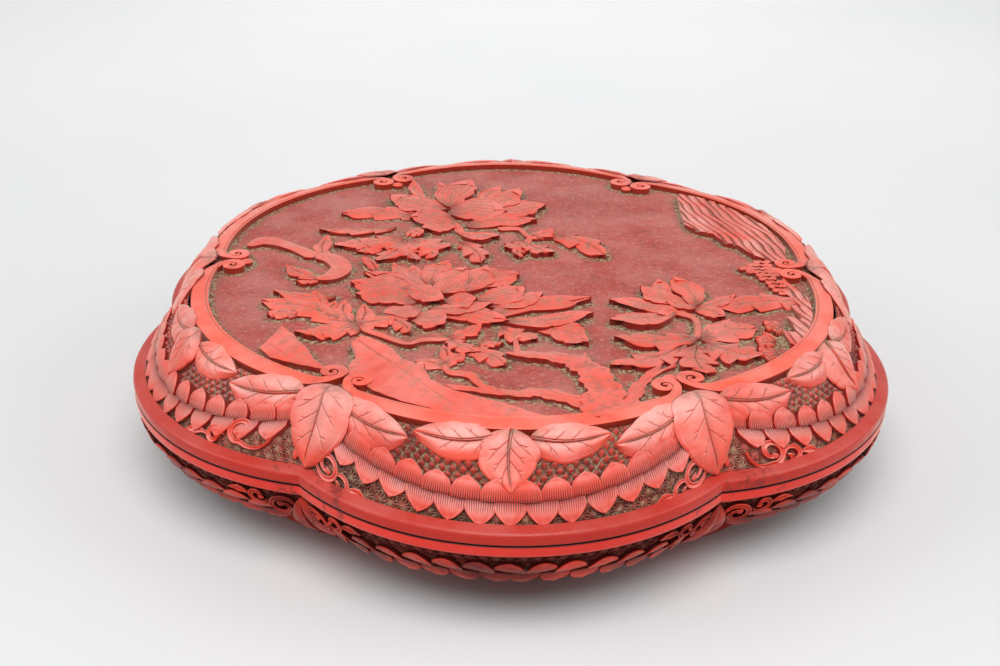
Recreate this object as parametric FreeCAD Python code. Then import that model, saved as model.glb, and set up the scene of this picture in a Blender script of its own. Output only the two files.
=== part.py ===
import FreeCAD, Part

import math
import os

# Carved lacquer box with six lobes: a low base on a foot ring and a domed lid.
# Millimetres, +Z up, the origin at the centre of the foot's underside.
# The box's front, the side that a lobe faces, looks along -Y.

os.makedirs("parts", exist_ok=True)
Vec = FreeCAD.Vector

# Plan: every level of the box is the same six-lobed outline, moved inward
LOBE_COUNT = 6
LOBE_PITCH_R = 60.0
LOBE_R = 90.0
FIRST_LOBE_DEG = -90.0
HALF_LOBE_DEG = 180.0 / LOBE_COUNT

# Heights, and the rims on both sides of the seam
SEAM_Z = 36.0
SEAM_GAP = 0.4
RIM_H = 4.5
RIM_EDGE_R = 1.6
LID_RIM_T = 4.5
LID_RIM_RISE = 0.5
BASE_RIM_T = 2.3
BOND = 0.1
OVERRUN = 5.0

# Lid shoulder: one meridian arc, its centre measured inward from the rim and up from the seam
LID_ARC_INSET = 49.0
LID_ARC_Z = -15.2
LID_RELIEF_R = 48.7
LID_RELIEF_DEPTH = 2.5
LID_LEDGE_Z = 3.4

# Base belly: the same kind of arc, turned down
BASE_ARC_INSET = 28.0
BASE_ARC_Z = 1.2
BASE_RELIEF_R = 28.6
BASE_RELIEF_DEPTH = 2.3
BASE_FLAT_INSET = 36.0

# Walls, from the outside in: lacquer coat, wood, black lining
COAT_T = 2.0
WOOD_T = 3.8
LINING_T = 0.6

# Mouth collar: it stands in the base and the lid drops over it
COLLAR_INSET = 12.9
COLLAR_T = 2.2
COLLAR_H = 4.0
COLLAR_DEPTH = 8.0
COLLAR_EDGE_R = 0.7
LID_CLEARANCE = 0.4

# Foot ring: shallower lobes than the body
FOOT_PITCH_R = LOBE_PITCH_R / 2
FOOT_SETBACK = 1.0
FOOT_LOBE_R = LOBE_R - FOOT_SETBACK
FOOT_T = 5.0
FOOT_EDGE_R = 1.2
UNDERSIDE_T = 1.6

# Panel on top of the lid, and the frame round it
FRAME_INSET = 24.0
FRAME_W = 6.5
FRAME_OUTER_Z = 27.2
FRAME_INNER_Z = 28.4
PANEL_Z = 25.4
PANEL_COAT_T = 2.0
BOARD_T = 6.5
VOLUTE_R = 4.3
VOLUTE_SIDE = 4.6
VOLUTE_SETBACK = 4.15
VOLUTE_GROOVE_R = 2.3
VOLUTE_GROOVE_W = 0.9
VOLUTE_GROOVE_DEG = 250.0

# Lotus petals: two rows back to back along a base line that climbs towards the cusps
PETAL_STEP_DEG = 6.5
PETAL_LOWER_COUNT = 13
PETAL_UPPER_COUNT = 14
PETAL_H = 6.3
PETAL_GAP = 0.3
PETAL_SHOULDER_SHARES = (0.47, 0.58)
PETAL_LINE_INSET = 7.7
PETAL_LINE_CLIMB = 3.6
PETAL_LINE_POWER_SHARE = 2.2
PETAL_LINE_END_DEG = 42.0
BASE_PETAL_LINE_INSET = 3.3
BASE_PETAL_LINE_CLIMB = 1.8
BASE_PETAL_H = 6.0
KEPT_SHARE = 0.15

# Leaves: three in the middle of each lobe, three round each cusp
SPRAY_LEAF_L = 19.0
SPRAY_LEAF_W = 18.0
SPRAY_SIDE_L = 27.0
SPRAY_SIDE_W = 12.0
CUSP_LEAF_W = 23.0
CUSP_LEAF_LIFT = 3.2
FLANK_LEAF_L = 30.0
FLANK_LEAF_W = 15.0
BASE_LEAF_W = 16.0
LEAF_GAP = 0.3
LEAF_BELLY_SHARE = 0.45
SPRAY_START_DEG = 3.5
SPRAY_SIDE_INSET = 21.5
SPRAY_SIDE_DROP_DEG = 2.0
FLANK_START_DEG = 50.0
FLANK_INSET = 20.5
FLANK_DROP_DEG = 6.0

# Rim scrolls: a large and a small C beside each cusp, with a pointed tail leaf
SCROLL_BIG_R = 3.8
SCROLL_SMALL_R = 2.8
SCROLL_W = 1.5
SCROLL_OPEN_DEG = 70.0
TAIL_L = 8.0
TAIL_W = 2.6
SCROLL_TURN_DEG = 60.0
SCROLL_BIG_DEG = 44.8
SCROLL_SMALL_DEG = 38.6
SCROLL_TAIL_DEG = 36.6
TAIL_TURN_DEG = 88.0
LID_SCROLL_BIG_INSET = 7.3
LID_SCROLL_SMALL_INSET = 6.4
LID_TAIL_INSET = 5.7
BASE_SCROLL_BIG_INSET = 2.9
BASE_SCROLL_SMALL_INSET = 2.1
BASE_TAIL_INSET = 1.4

# Relief of the panel
RELIEF_TOP_Z = 28.3
RELIEF_FIRST_STEP = 1.3
RELIEF_STEP = 0.8
STEM_W = 3.0
FLOWER_STAGE_SHARES = (1.0, 0.68, 0.36)
FLOWER_NOTCH_SHARE = 0.84


def polar(radius, degrees, z=0.0):
    """A point at a radius and an angle about the box's axis."""
    angle = math.radians(degrees)
    return Vec(radius * math.cos(angle), radius * math.sin(angle), z)


def line(start, end):
    """A straight edge."""
    return Part.LineSegment(start, end).toShape()


def arc(start, middle, end):
    """A circular edge through three points."""
    return Part.Arc(start, middle, end).toShape()


def prism(edges, z_low, z_high):
    """A closed outline at height zero, raised between two heights."""
    face = Part.Face(Part.Wire(edges))
    face.translate(Vec(0, 0, z_low))
    return face.extrude(Vec(0, 0, z_high - z_low))


def polygon_prism(points, z_low, z_high):
    """A prism on straight sides."""
    loop = points + points[:1]
    return prism([line(a, b) for a, b in zip(loop, loop[1:])], z_low, z_high)


def at_lobes(shape, turn=0.0):
    """Copies of a shape, modelled with its lobe along +X, at each of the lobes."""
    copies = []
    for number in range(LOBE_COUNT):
        copy = shape.copy()
        angle = FIRST_LOBE_DEG + turn + number * 360.0 / LOBE_COUNT
        copy.rotate(Vec(0, 0, 0), Vec(0, 0, 1), angle)
        copies.append(copy)
    return copies


def fused(shapes):
    """One solid from pieces that share faces or overlap."""
    return shapes[0].multiFuse(shapes[1:]).removeSplitter()


def export(name, shapes):
    """Writes one node, as a single solid or as a group of solids."""
    solids = [solid for shape in shapes for solid in shape.Solids]
    shape = solids[0] if len(solids) == 1 else Part.makeCompound(solids)
    shape.exportStep(f"parts/{name}.step")
    print(f"{name}: {len(solids)} solids, volume {shape.Volume:.0f}, valid {shape.isValid()}")


def cusp_radius(inset, pitch=LOBE_PITCH_R, lobe_r=LOBE_R):
    """Distance from the axis to the corner between two lobes at an inset."""
    half = math.radians(HALF_LOBE_DEG)
    return pitch * math.cos(half) + math.sqrt((lobe_r - inset) ** 2 - (pitch * math.sin(half)) ** 2)


def lobed_edges(inset, pitch=LOBE_PITCH_R, lobe_r=LOBE_R):
    """The lobed outline at an inset, as one arc per lobe."""
    corner = cusp_radius(inset, pitch, lobe_r)
    edges = []
    for number in range(LOBE_COUNT):
        middle = FIRST_LOBE_DEG + number * 360.0 / LOBE_COUNT
        start = polar(corner, middle - HALF_LOBE_DEG)
        end = polar(corner, middle + HALF_LOBE_DEG)
        edges.append(arc(start, polar(pitch + lobe_r - inset, middle), end))
    return edges


def lobed_plate(inset, z_low, z_high, pitch=LOBE_PITCH_R, lobe_r=LOBE_R):
    """A flat plate with the lobed outline."""
    return prism(lobed_edges(inset, pitch, lobe_r), z_low, z_high)


class WallArc:
    """The meridian arc of a lobed wall: side is 1 on the lid and -1 on the base."""

    def __init__(self, inset, rise, side):
        self.inset = inset
        self.z = SEAM_Z + rise
        self.side = side

    def height(self, radius, inset):
        """Height of the arc of a radius at an inset."""
        return self.z + self.side * math.sqrt(radius**2 - (self.inset - inset) ** 2)

    def inset_at(self, radius, z):
        """Inset of the arc of a radius at a height."""
        return self.inset - math.sqrt(radius**2 - (z - self.z) ** 2)

    def point(self, radius, inset):
        return (inset, self.height(radius, inset))

    def between(self, radius, first, last):
        """The point of the arc halfway between two insets, for a three-point arc."""
        return self.point(radius, (first + last) / 2)

    def climb(self, radius, inset):
        """Angle of the surface's normal above the horizontal, in radians."""
        return self.side * math.acos((self.inset - inset) / radius)

    def inset_of_climb(self, radius, climb):
        return self.inset - radius * math.cos(climb)


LID_ARC = WallArc(LID_ARC_INSET, LID_ARC_Z, 1)
BASE_ARC = WallArc(BASE_ARC_INSET, BASE_ARC_Z, -1)
SEAM_TOP = SEAM_Z + SEAM_GAP / 2
SEAM_LOW = SEAM_Z - SEAM_GAP / 2


def lobe_point(inset, z):
    """A point of a lobe's profile, on its plane of symmetry."""
    return Vec(LOBE_PITCH_R + LOBE_R - inset, 0, z)


def profile_face(start, steps):
    """A face from a start point and steps: an end point, or a middle point and an end point."""
    edges = []
    here = lobe_point(*start)
    for step in steps:
        points = [lobe_point(*point) for point in step]
        edges.append(line(here, points[0]) if len(points) == 1 else arc(here, *points))
        here = points[-1]
    edges.append(line(here, lobe_point(*start)))
    return Part.Face(Part.Wire(edges))


def lobe_sector(z_low, z_high):
    """The wedge of space that belongs to one lobe."""
    reach = 2 * (LOBE_PITCH_R + LOBE_R)
    corners = [Vec(0, 0, 0), polar(reach, -HALF_LOBE_DEG), polar(reach, HALF_LOBE_DEG)]
    return polygon_prism(corners, z_low, z_high)


def lobe_wall(start, steps):
    """One lobe of a wall: its profile turned about the lobe's axis, cut at the cusps."""
    face = profile_face(start, steps)
    centre = Vec(LOBE_PITCH_R, 0, 0)
    face.rotate(centre, Vec(0, 0, 1), -90)
    turned = face.revolve(centre, Vec(0, 0, 1), 180)
    box = turned.BoundBox
    return turned.common(lobe_sector(box.ZMin - OVERRUN, box.ZMax + OVERRUN))


def lobed_ring(start, steps):
    """A closed wall round the box with the given profile on every lobe."""
    return fused(at_lobes(lobe_wall(start, steps)))


def arc_step(wall, radius, first, last):
    """A profile step along a wall's arc from one inset to another."""
    return (wall.between(radius, first, last), wall.point(radius, last))


# Radii of the wall's layers, each from the one outside it, and places that follow from the sizes
LID_GROUND_R = LID_RELIEF_R - LID_RELIEF_DEPTH
LID_COAT_IN_R = LID_GROUND_R - COAT_T
LID_WOOD_R = LID_COAT_IN_R - BOND
LID_WOOD_IN_R = LID_WOOD_R - WOOD_T
LID_LINING_R = LID_WOOD_IN_R - BOND
LID_LINING_IN_R = LID_LINING_R - LINING_T
BASE_GROUND_R = BASE_RELIEF_R - BASE_RELIEF_DEPTH
BASE_COAT_IN_R = BASE_GROUND_R - COAT_T
BASE_WOOD_R = BASE_COAT_IN_R - BOND
BASE_WOOD_IN_R = BASE_WOOD_R - WOOD_T
BASE_LINING_R = BASE_WOOD_IN_R - BOND
BASE_LINING_IN_R = BASE_LINING_R - LINING_T
FRAME_IN_INSET = FRAME_INSET + FRAME_W
BOARD_INSET = FRAME_IN_INSET + BOND
BASE_BOARD_INSET = BASE_FLAT_INSET + BOND
VOLUTE_REACH = cusp_radius(FRAME_INSET) - VOLUTE_SETBACK


# Base


def base_rim_band():
    bottom = SEAM_Z - RIM_H
    bend = RIM_EDGE_R * (1 - math.cos(math.radians(45)))
    return lobed_ring(
        (0, SEAM_LOW),
        [
            ((0, bottom + RIM_EDGE_R),),
            ((bend, bottom + bend), (RIM_EDGE_R, bottom)),
            ((BASE_RIM_T, bottom),),
            ((BASE_RIM_T, SEAM_LOW),),
        ],
    )


def foot_outline_plate(inset, z_low, z_high):
    return lobed_plate(inset, z_low, z_high, FOOT_PITCH_R, FOOT_LOBE_R)


def base_coat():
    """The carved coat's ground, open under the foot's inner side."""
    rim = BASE_RIM_T + BOND
    flat = BASE_ARC_INSET
    inner = BASE_ARC.inset_at(BASE_COAT_IN_R, SEAM_LOW)
    ground_z = BASE_ARC.height(BASE_GROUND_R, flat)
    ring = lobed_ring(
        (rim, SEAM_LOW),
        [
            (BASE_ARC.point(BASE_GROUND_R, rim),),
            arc_step(BASE_ARC, BASE_GROUND_R, rim, flat),
            ((BASE_FLAT_INSET, ground_z),),
            ((BASE_FLAT_INSET, ground_z + COAT_T),),
            ((flat, ground_z + COAT_T),),
            arc_step(BASE_ARC, BASE_COAT_IN_R, flat, inner),
        ],
    )
    hole = foot_outline_plate(FOOT_T, ground_z - OVERRUN, ground_z + COAT_T + OVERRUN)
    return ring.cut(hole)


def base_wall():
    """The wood wall, thickened at the mouth to carry the collar."""
    mouth = COLLAR_INSET - BOND - LINING_T - BOND
    flat = BASE_ARC_INSET
    outer = BASE_ARC.inset_at(BASE_WOOD_R, SEAM_LOW)
    low = BASE_ARC.height(BASE_WOOD_R, flat)
    high = BASE_ARC.height(BASE_WOOD_IN_R, flat)
    return lobed_ring(
        (outer, SEAM_LOW),
        [
            arc_step(BASE_ARC, BASE_WOOD_R, outer, flat),
            ((BASE_FLAT_INSET, low),),
            ((BASE_FLAT_INSET, high),),
            ((flat, high),),
            arc_step(BASE_ARC, BASE_WOOD_IN_R, flat, mouth),
            ((mouth, SEAM_LOW),),
        ],
    )


def base_floor():
    low = BASE_ARC.height(BASE_WOOD_R, BASE_ARC_INSET)
    high = BASE_ARC.height(BASE_WOOD_IN_R, BASE_ARC_INSET)
    return lobed_plate(BASE_BOARD_INSET, low, high)


def base_lining():
    """Black lacquer inside the base, wall and floor in one coat."""
    outer = COLLAR_INSET - BOND - LINING_T
    inner = COLLAR_INSET - BOND
    flat = BASE_ARC_INSET
    low = BASE_ARC.height(BASE_LINING_R, flat)
    high = BASE_ARC.height(BASE_LINING_IN_R, flat)
    wall = lobed_ring(
        (outer, SEAM_LOW),
        [
            (BASE_ARC.point(BASE_LINING_R, outer),),
            arc_step(BASE_ARC, BASE_LINING_R, outer, flat),
            ((BASE_FLAT_INSET, low),),
            ((BASE_FLAT_INSET, high),),
            ((flat, high),),
            arc_step(BASE_ARC, BASE_LINING_IN_R, flat, inner),
            ((inner, SEAM_LOW),),
        ],
    )
    return fused([wall, lobed_plate(BASE_FLAT_INSET, low, high)])


def mouth_collar():
    top = SEAM_Z + COLLAR_H
    low = SEAM_Z - COLLAR_DEPTH
    inner = COLLAR_INSET + COLLAR_T
    bend = COLLAR_EDGE_R * (1 - math.cos(math.radians(45)))
    return lobed_ring(
        (COLLAR_INSET, low),
        [
            ((COLLAR_INSET, top - COLLAR_EDGE_R),),
            ((COLLAR_INSET + bend, top - bend), (COLLAR_INSET + COLLAR_EDGE_R, top)),
            ((inner - COLLAR_EDGE_R, top),),
            ((inner - bend, top - bend), (inner, top - COLLAR_EDGE_R)),
            ((inner, low),),
        ],
    )


def foot_ring():
    """The plain foot, its top shaped to the belly that it stands under."""
    ground_z = BASE_ARC.height(BASE_GROUND_R, BASE_ARC_INSET)
    outer = foot_outline_plate(0, 0, ground_z + RIM_H)
    ring = outer.cut(foot_outline_plate(FOOT_T, -OVERRUN, ground_z + RIM_H + OVERRUN))
    edges = [edge for edge in ring.Edges if edge.BoundBox.ZMax < FOOT_EDGE_R and len(edge.Vertexes) == 2]
    ring = ring.makeFillet(FOOT_EDGE_R, edges)
    belly_r = BASE_GROUND_R + BOND
    belly = lobed_ring(
        (BASE_RIM_T, SEAM_Z),
        [
            (BASE_ARC.point(belly_r, BASE_RIM_T),),
            arc_step(BASE_ARC, belly_r, BASE_RIM_T, BASE_ARC_INSET),
            ((BASE_FLAT_INSET, BASE_ARC.height(belly_r, BASE_ARC_INSET)),),
            ((BASE_FLAT_INSET, SEAM_Z),),
        ],
    )
    return ring.cut(belly)


def base_underside():
    """Black lacquer on the underside, inside the foot."""
    low = BASE_ARC.height(BASE_GROUND_R, BASE_ARC_INSET)
    return foot_outline_plate(FOOT_T + BOND, low, low + UNDERSIDE_T)


# Lid


def lid_rim_band():
    top = SEAM_Z + RIM_H
    bend = RIM_EDGE_R * (1 - math.cos(math.radians(45)))
    return lobed_ring(
        (0, SEAM_TOP),
        [
            ((0, top - RIM_EDGE_R),),
            ((bend, top - bend), (RIM_EDGE_R, top)),
            ((LID_RIM_T, top + LID_RIM_RISE),),
            ((LID_RIM_T, SEAM_TOP),),
        ],
    )


def lid_coat():
    """The ground of the carving on the shoulder, with a ledge behind the rim and a shelf for the frame."""
    rim = LID_RIM_T + BOND
    ledge_z = SEAM_Z + LID_LEDGE_Z
    ledge = LID_ARC.inset_at(LID_GROUND_R, ledge_z)
    inner = LID_ARC.inset_at(LID_COAT_IN_R, SEAM_TOP)
    shelf_z = LID_ARC.height(LID_GROUND_R, FRAME_INSET)
    under_z = LID_ARC.height(LID_COAT_IN_R, FRAME_INSET)
    return lobed_ring(
        (rim, SEAM_TOP),
        [
            ((rim, ledge_z),),
            ((ledge, ledge_z),),
            arc_step(LID_ARC, LID_GROUND_R, ledge, FRAME_INSET),
            ((FRAME_IN_INSET, shelf_z),),
            ((FRAME_IN_INSET, under_z),),
            ((FRAME_INSET, under_z),),
            arc_step(LID_ARC, LID_COAT_IN_R, FRAME_INSET, inner),
        ],
    )


LID_MOUTH_INSET = COLLAR_INSET - LID_CLEARANCE
LID_CHANNEL_Z = SEAM_Z + COLLAR_H + LID_CLEARANCE


def lid_wall():
    """The wood shoulder of the lid, rebated for the collar."""
    mouth = LID_MOUTH_INSET - LINING_T - BOND
    channel_z = LID_CHANNEL_Z + LINING_T + BOND
    outer = LID_ARC.inset_at(LID_WOOD_R, SEAM_TOP)
    ledge = LID_ARC.inset_at(LID_WOOD_IN_R, channel_z)
    top_z = LID_ARC.height(LID_WOOD_R, FRAME_INSET)
    under_z = LID_ARC.height(LID_WOOD_IN_R, FRAME_INSET)
    return lobed_ring(
        (outer, SEAM_TOP),
        [
            arc_step(LID_ARC, LID_WOOD_R, outer, FRAME_INSET),
            ((FRAME_IN_INSET, top_z),),
            ((FRAME_IN_INSET, under_z),),
            ((FRAME_INSET, under_z),),
            arc_step(LID_ARC, LID_WOOD_IN_R, FRAME_INSET, ledge),
            ((mouth, channel_z),),
            ((mouth, SEAM_TOP),),
        ],
    )


def lid_board():
    top = SEAM_Z + PANEL_Z - PANEL_COAT_T - BOND
    return lobed_plate(BOARD_INSET, top - BOARD_T, top)


def lid_panel_ground():
    return lobed_plate(BOARD_INSET, SEAM_Z + PANEL_Z - PANEL_COAT_T, SEAM_Z + PANEL_Z)


def lid_lining():
    """Black lacquer inside the lid, wall and ceiling in one coat."""
    outer = LID_MOUTH_INSET - LINING_T
    ledge_z = LID_CHANNEL_Z + LINING_T
    ledge = LID_ARC.inset_at(LID_LINING_R, ledge_z)
    inner_ledge = LID_ARC.inset_at(LID_LINING_IN_R, LID_CHANNEL_Z)
    high = SEAM_Z + PANEL_Z - PANEL_COAT_T - BOND - BOARD_T - BOND
    high = min(high, LID_ARC.height(LID_LINING_R, FRAME_INSET))
    low = high - LINING_T
    reach = LID_ARC.inset_at(LID_LINING_R, high)
    inner_reach = LID_ARC.inset_at(LID_LINING_IN_R, low)
    wall = lobed_ring(
        (outer, SEAM_TOP),
        [
            ((outer, ledge_z),),
            ((ledge, ledge_z),),
            arc_step(LID_ARC, LID_LINING_R, ledge, reach),
            ((FRAME_IN_INSET, high),),
            ((FRAME_IN_INSET, low),),
            ((inner_reach, low),),
            arc_step(LID_ARC, LID_LINING_IN_R, inner_reach, inner_ledge),
            ((LID_MOUTH_INSET, LID_CHANNEL_Z),),
            ((LID_MOUTH_INSET, SEAM_TOP),),
        ],
    )
    return fused([wall, lobed_plate(FRAME_IN_INSET, low, high)])


def volute(side):
    """The scroll that ends a frame band beside the cusp, with its winding groove."""
    low = LID_ARC.height(LID_GROUND_R, FRAME_INSET) + BOND
    high = SEAM_Z + FRAME_INNER_Z
    half = math.radians(HALF_LOBE_DEG)
    along = Vec(math.cos(half), side * math.sin(half), 0)
    across = Vec(math.sin(half), -side * math.cos(half), 0)
    centre = along * VOLUTE_REACH + across * VOLUTE_SIDE
    disc = Part.makeCylinder(VOLUTE_R, high - low, centre + Vec(0, 0, low))
    outer_r = VOLUTE_GROOVE_R + VOLUTE_GROOVE_W / 2
    inner_r = VOLUTE_GROOVE_R - VOLUTE_GROOVE_W / 2
    depth = FRAME_INNER_Z - PANEL_Z
    start = centre + Vec(0, 0, high - depth)
    groove = Part.makeCylinder(outer_r, depth + OVERRUN, start, Vec(0, 0, 1), VOLUTE_GROOVE_DEG)
    groove = groove.cut(Part.makeCylinder(inner_r, depth + OVERRUN, start))
    groove.rotate(centre, Vec(0, 0, 1), 180 - VOLUTE_GROOVE_DEG / 2)
    return disc, groove


def panel_frame():
    """Six bands, each bowed with its lobe and ending in two scrolls that meet their neighbours."""
    shelf = LID_ARC.height(LID_GROUND_R, FRAME_INSET) + BOND
    outer_z = SEAM_Z + FRAME_OUTER_Z
    inner_z = SEAM_Z + FRAME_INNER_Z
    band = lobe_wall(
        (FRAME_INSET, shelf),
        [
            ((FRAME_INSET, outer_z),),
            ((FRAME_IN_INSET, inner_z),),
            ((FRAME_IN_INSET, shelf),),
        ],
    )
    for side in (-1, 1):
        disc, groove = volute(side)
        band = band.fuse(disc).cut(groove)
    ground = lobed_plate(FRAME_IN_INSET, shelf - OVERRUN, SEAM_Z + PANEL_Z + BOND)
    ground.rotate(Vec(0, 0, 0), Vec(0, 0, 1), -FIRST_LOBE_DEG)
    band = band.cut(ground)
    trim = lobe_sector(shelf - OVERRUN, inner_z + OVERRUN)
    trim.translate(Vec(SEAM_GAP / math.sin(math.radians(HALF_LOBE_DEG)), 0, 0))
    return at_lobes(band.common(trim))


# Relief on the curved walls: an outline drawn on the tangent plane, kept between ground and relief arc


class Relief:
    """Places motifs on the lobe that lies along +X."""

    def __init__(self, wall, radius, layer):
        self.wall = wall
        self.radius = radius
        self.layer = layer

    def placement(self, azimuth, inset, turn=0.0, slide=0.0):
        """Tangent frame at an azimuth about the lobe's axis: X along the azimuth, Y up the meridian."""
        climb = self.wall.climb(self.radius, inset) + slide / self.radius
        angle = math.radians(azimuth)
        rho = LOBE_R - self.wall.inset_of_climb(self.radius, climb)
        z = self.wall.z + self.radius * math.sin(climb)
        out = Vec(math.cos(angle), math.sin(angle), 0)
        along = Vec(-math.sin(angle), math.cos(angle), 0)
        normal = out * math.cos(climb) + Vec(0, 0, math.sin(climb))
        up = normal.cross(along)
        origin = Vec(LOBE_PITCH_R, 0, 0) + out * rho
        origin.z = z
        matrix = FreeCAD.Matrix(
            along.x, up.x, normal.x, origin.x,
            along.y, up.y, normal.y, origin.y,
            along.z, up.z, normal.z, origin.z,
            0, 0, 0, 1,
        )
        spin = FreeCAD.Placement(Vec(0, 0, 0), FreeCAD.Rotation(Vec(0, 0, 1), turn))
        return FreeCAD.Placement(matrix).multiply(spin)

    def block(self, edges, azimuth, inset, turn=0.0, slide=0.0):
        """The outline as a thick block across the relief layer."""
        half = 2 * LID_RELIEF_DEPTH
        solid = prism(edges, -half, half)
        solid.Placement = self.placement(azimuth, inset, turn, slide)
        return solid

    def motif(self, edges, azimuth, inset, turn=0.0, slide=0.0):
        return self.block(edges, azimuth, inset, turn, slide).common(self.layer)


def leaf_edges(length, width):
    """A pointed leaf from its base at zero, as two arcs; it grows along +Y."""
    base = Vec(0, 0, 0)
    tip = Vec(0, length, 0)
    left = Vec(-width / 2, length * LEAF_BELLY_SHARE, 0)
    right = Vec(width / 2, length * LEAF_BELLY_SHARE, 0)
    return [arc(base, right, tip), arc(tip, left, base)]


def petal_edges(width, height, up):
    """A lotus petal on its base line: a pointed scale with two shoulders."""
    half = width / 2 - PETAL_GAP / 2
    out_share, up_share = PETAL_SHOULDER_SHARES
    foot = PETAL_GAP / 2
    corners = [
        Vec(-half, up * foot, 0),
        Vec(half, up * foot, 0),
        Vec(width * out_share - PETAL_GAP / 2, up * height * up_share, 0),
        Vec(0, up * height, 0),
        Vec(-width * out_share + PETAL_GAP / 2, up * height * up_share, 0),
    ]
    loop = corners + corners[:1]
    return [line(a, b) for a, b in zip(loop, loop[1:])]


def petal_row(relief, count, up, height, line_inset, line_climb):
    """One row of petals across a lobe, following the base line."""
    radius = relief.radius
    wall = relief.wall
    petals = []
    for number in range(count):
        azimuth = (number - (count - 1) / 2) * PETAL_STEP_DEG
        share = abs(azimuth) / PETAL_LINE_END_DEG
        inset = line_inset + line_climb * share**PETAL_LINE_POWER_SHARE
        rho = LOBE_R - inset
        width = rho * math.radians(PETAL_STEP_DEG)
        step = line_climb * PETAL_LINE_POWER_SHARE * share ** (PETAL_LINE_POWER_SHARE - 1)
        slope = step / PETAL_LINE_END_DEG / math.sin(abs(wall.climb(radius, inset)))
        turn = wall.side * math.degrees(math.atan(slope / math.radians(rho)))
        edges = petal_edges(width, height, up)
        petals.append(relief.motif(edges, azimuth, inset, math.copysign(turn, wall.side * azimuth)))
    return petals


def clear_of(shapes, blockers):
    """Cuts away what lies under other motifs, and drops pieces that vanish."""
    kept = []
    for shape in shapes:
        least = shape.Volume * KEPT_SHARE
        for blocker in blockers:
            if shape.BoundBox.intersect(blocker.BoundBox):
                shape = shape.cut(blocker)
        kept += [solid for solid in shape.Solids if solid.Volume > least]
    return kept


def c_scroll(radius):
    """A C-shaped scroll as a ring sector."""
    outer = radius + SCROLL_W / 2
    inner = radius - SCROLL_W / 2
    start = SCROLL_OPEN_DEG / 2
    end = 360 - SCROLL_OPEN_DEG / 2
    return [
        arc(polar(outer, start), polar(outer, 180), polar(outer, end)),
        line(polar(outer, end), polar(inner, end)),
        arc(polar(inner, end), polar(inner, 180), polar(inner, start)),
        line(polar(inner, start), polar(outer, start)),
    ]


def lid_relief_layer():
    """The space of the lid's carving on one lobe, between the ground and the relief arc."""
    rim = LID_RIM_T + 2 * BOND
    last = FRAME_INSET - BOND
    ground_r = LID_GROUND_R + BOND
    ledge_z = SEAM_Z + LID_LEDGE_Z + BOND
    return lobe_wall(
        (rim, ledge_z),
        [
            (LID_ARC.point(LID_RELIEF_R, rim),),
            arc_step(LID_ARC, LID_RELIEF_R, rim, last),
            (LID_ARC.point(ground_r, last),),
            arc_step(LID_ARC, ground_r, last, LID_ARC.inset_at(ground_r, ledge_z)),
        ],
    )


def base_relief_layer():
    """The space of the base's carving on one lobe."""
    top = SEAM_Z - RIM_H - BOND
    first = BASE_ARC.inset_at(BASE_RELIEF_R, top)
    last = BASE_ARC_INSET
    ground_r = BASE_GROUND_R + BOND
    return lobe_wall(
        (first, top),
        [
            arc_step(BASE_ARC, BASE_RELIEF_R, first, last),
            (BASE_ARC.point(ground_r, last),),
            arc_step(BASE_ARC, ground_r, last, BASE_ARC.inset_at(ground_r, top)),
        ],
    )


def spray_blocks(relief):
    """Centre leaf towards the rim and two side leaves along the frame."""
    root = FRAME_INSET - BOND
    centre = relief.block(leaf_edges(SPRAY_LEAF_L, SPRAY_LEAF_W), 0, root, 180)
    sides = []
    for side in (-1, 1):
        start = side * SPRAY_START_DEG
        turn = -side * (90 + SPRAY_SIDE_DROP_DEG)
        sides.append(relief.block(leaf_edges(SPRAY_SIDE_L, SPRAY_SIDE_W), start, SPRAY_SIDE_INSET, turn))
    return [centre] + sides


def flank_blocks(relief):
    """The leaf that lies along the frame on each side of a cusp."""
    blocks = []
    for side in (-1, 1):
        start = side * FLANK_START_DEG
        turn = side * (90 + FLANK_DROP_DEG)
        blocks.append(relief.block(leaf_edges(FLANK_LEAF_L, FLANK_LEAF_W), start, FLANK_INSET, turn))
    return blocks


def kept_apart(blocks, layer):
    """Motifs cut from a layer in order, each trimmed by those before it."""
    done = []
    for block in blocks:
        piece = block.common(layer)
        for other in done:
            piece = piece.cut(other)
        solids = sorted(piece.Solids, key=lambda solid: solid.Volume)
        done.append(solids[-1])
    return done


def rim_scrolls(relief, insets, tail_up):
    """Both scroll chains of a lobe: a large C, a small C and a tail leaf beside each cusp."""
    pieces = []
    big_inset, small_inset, tail_inset = insets
    for side in (-1, 1):
        open_big = 90 + side * SCROLL_TURN_DEG
        chain = [
            relief.block(c_scroll(SCROLL_BIG_R), side * SCROLL_BIG_DEG, big_inset, open_big),
            relief.block(c_scroll(SCROLL_SMALL_R), side * SCROLL_SMALL_DEG, small_inset, open_big),
            relief.block(
                leaf_edges(TAIL_L, TAIL_W), side * SCROLL_TAIL_DEG, tail_inset, side * tail_up * TAIL_TURN_DEG
            ),
        ]
        pieces += kept_apart(chain, relief.layer)
    return pieces


def cusp_inset(reach):
    """Inset of the point at a distance from the axis on the line through a cusp."""
    half = math.radians(HALF_LOBE_DEG)
    run = reach - LOBE_PITCH_R * math.cos(half)
    return LOBE_R - math.hypot(run, LOBE_PITCH_R * math.sin(half))


def both_sides(shape):
    """A lobe's shape on both sides of a cusp that lies along +X."""
    copies = []
    for side in (-1, 1):
        copy = shape.copy()
        copy.rotate(Vec(0, 0, 0), Vec(0, 0, 1), side * HALF_LOBE_DEG)
        copies.append(copy)
    return copies


def radial_face(points):
    """A face in the plane through the axis from (reach, height) points, its second step an arc."""
    first, start, middle, end, last = [Vec(reach, 0, z) for reach, z in points]
    edges = [line(first, start), arc(start, middle, end), line(end, last), line(last, first)]
    return Part.Face(Part.Wire(edges))


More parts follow.
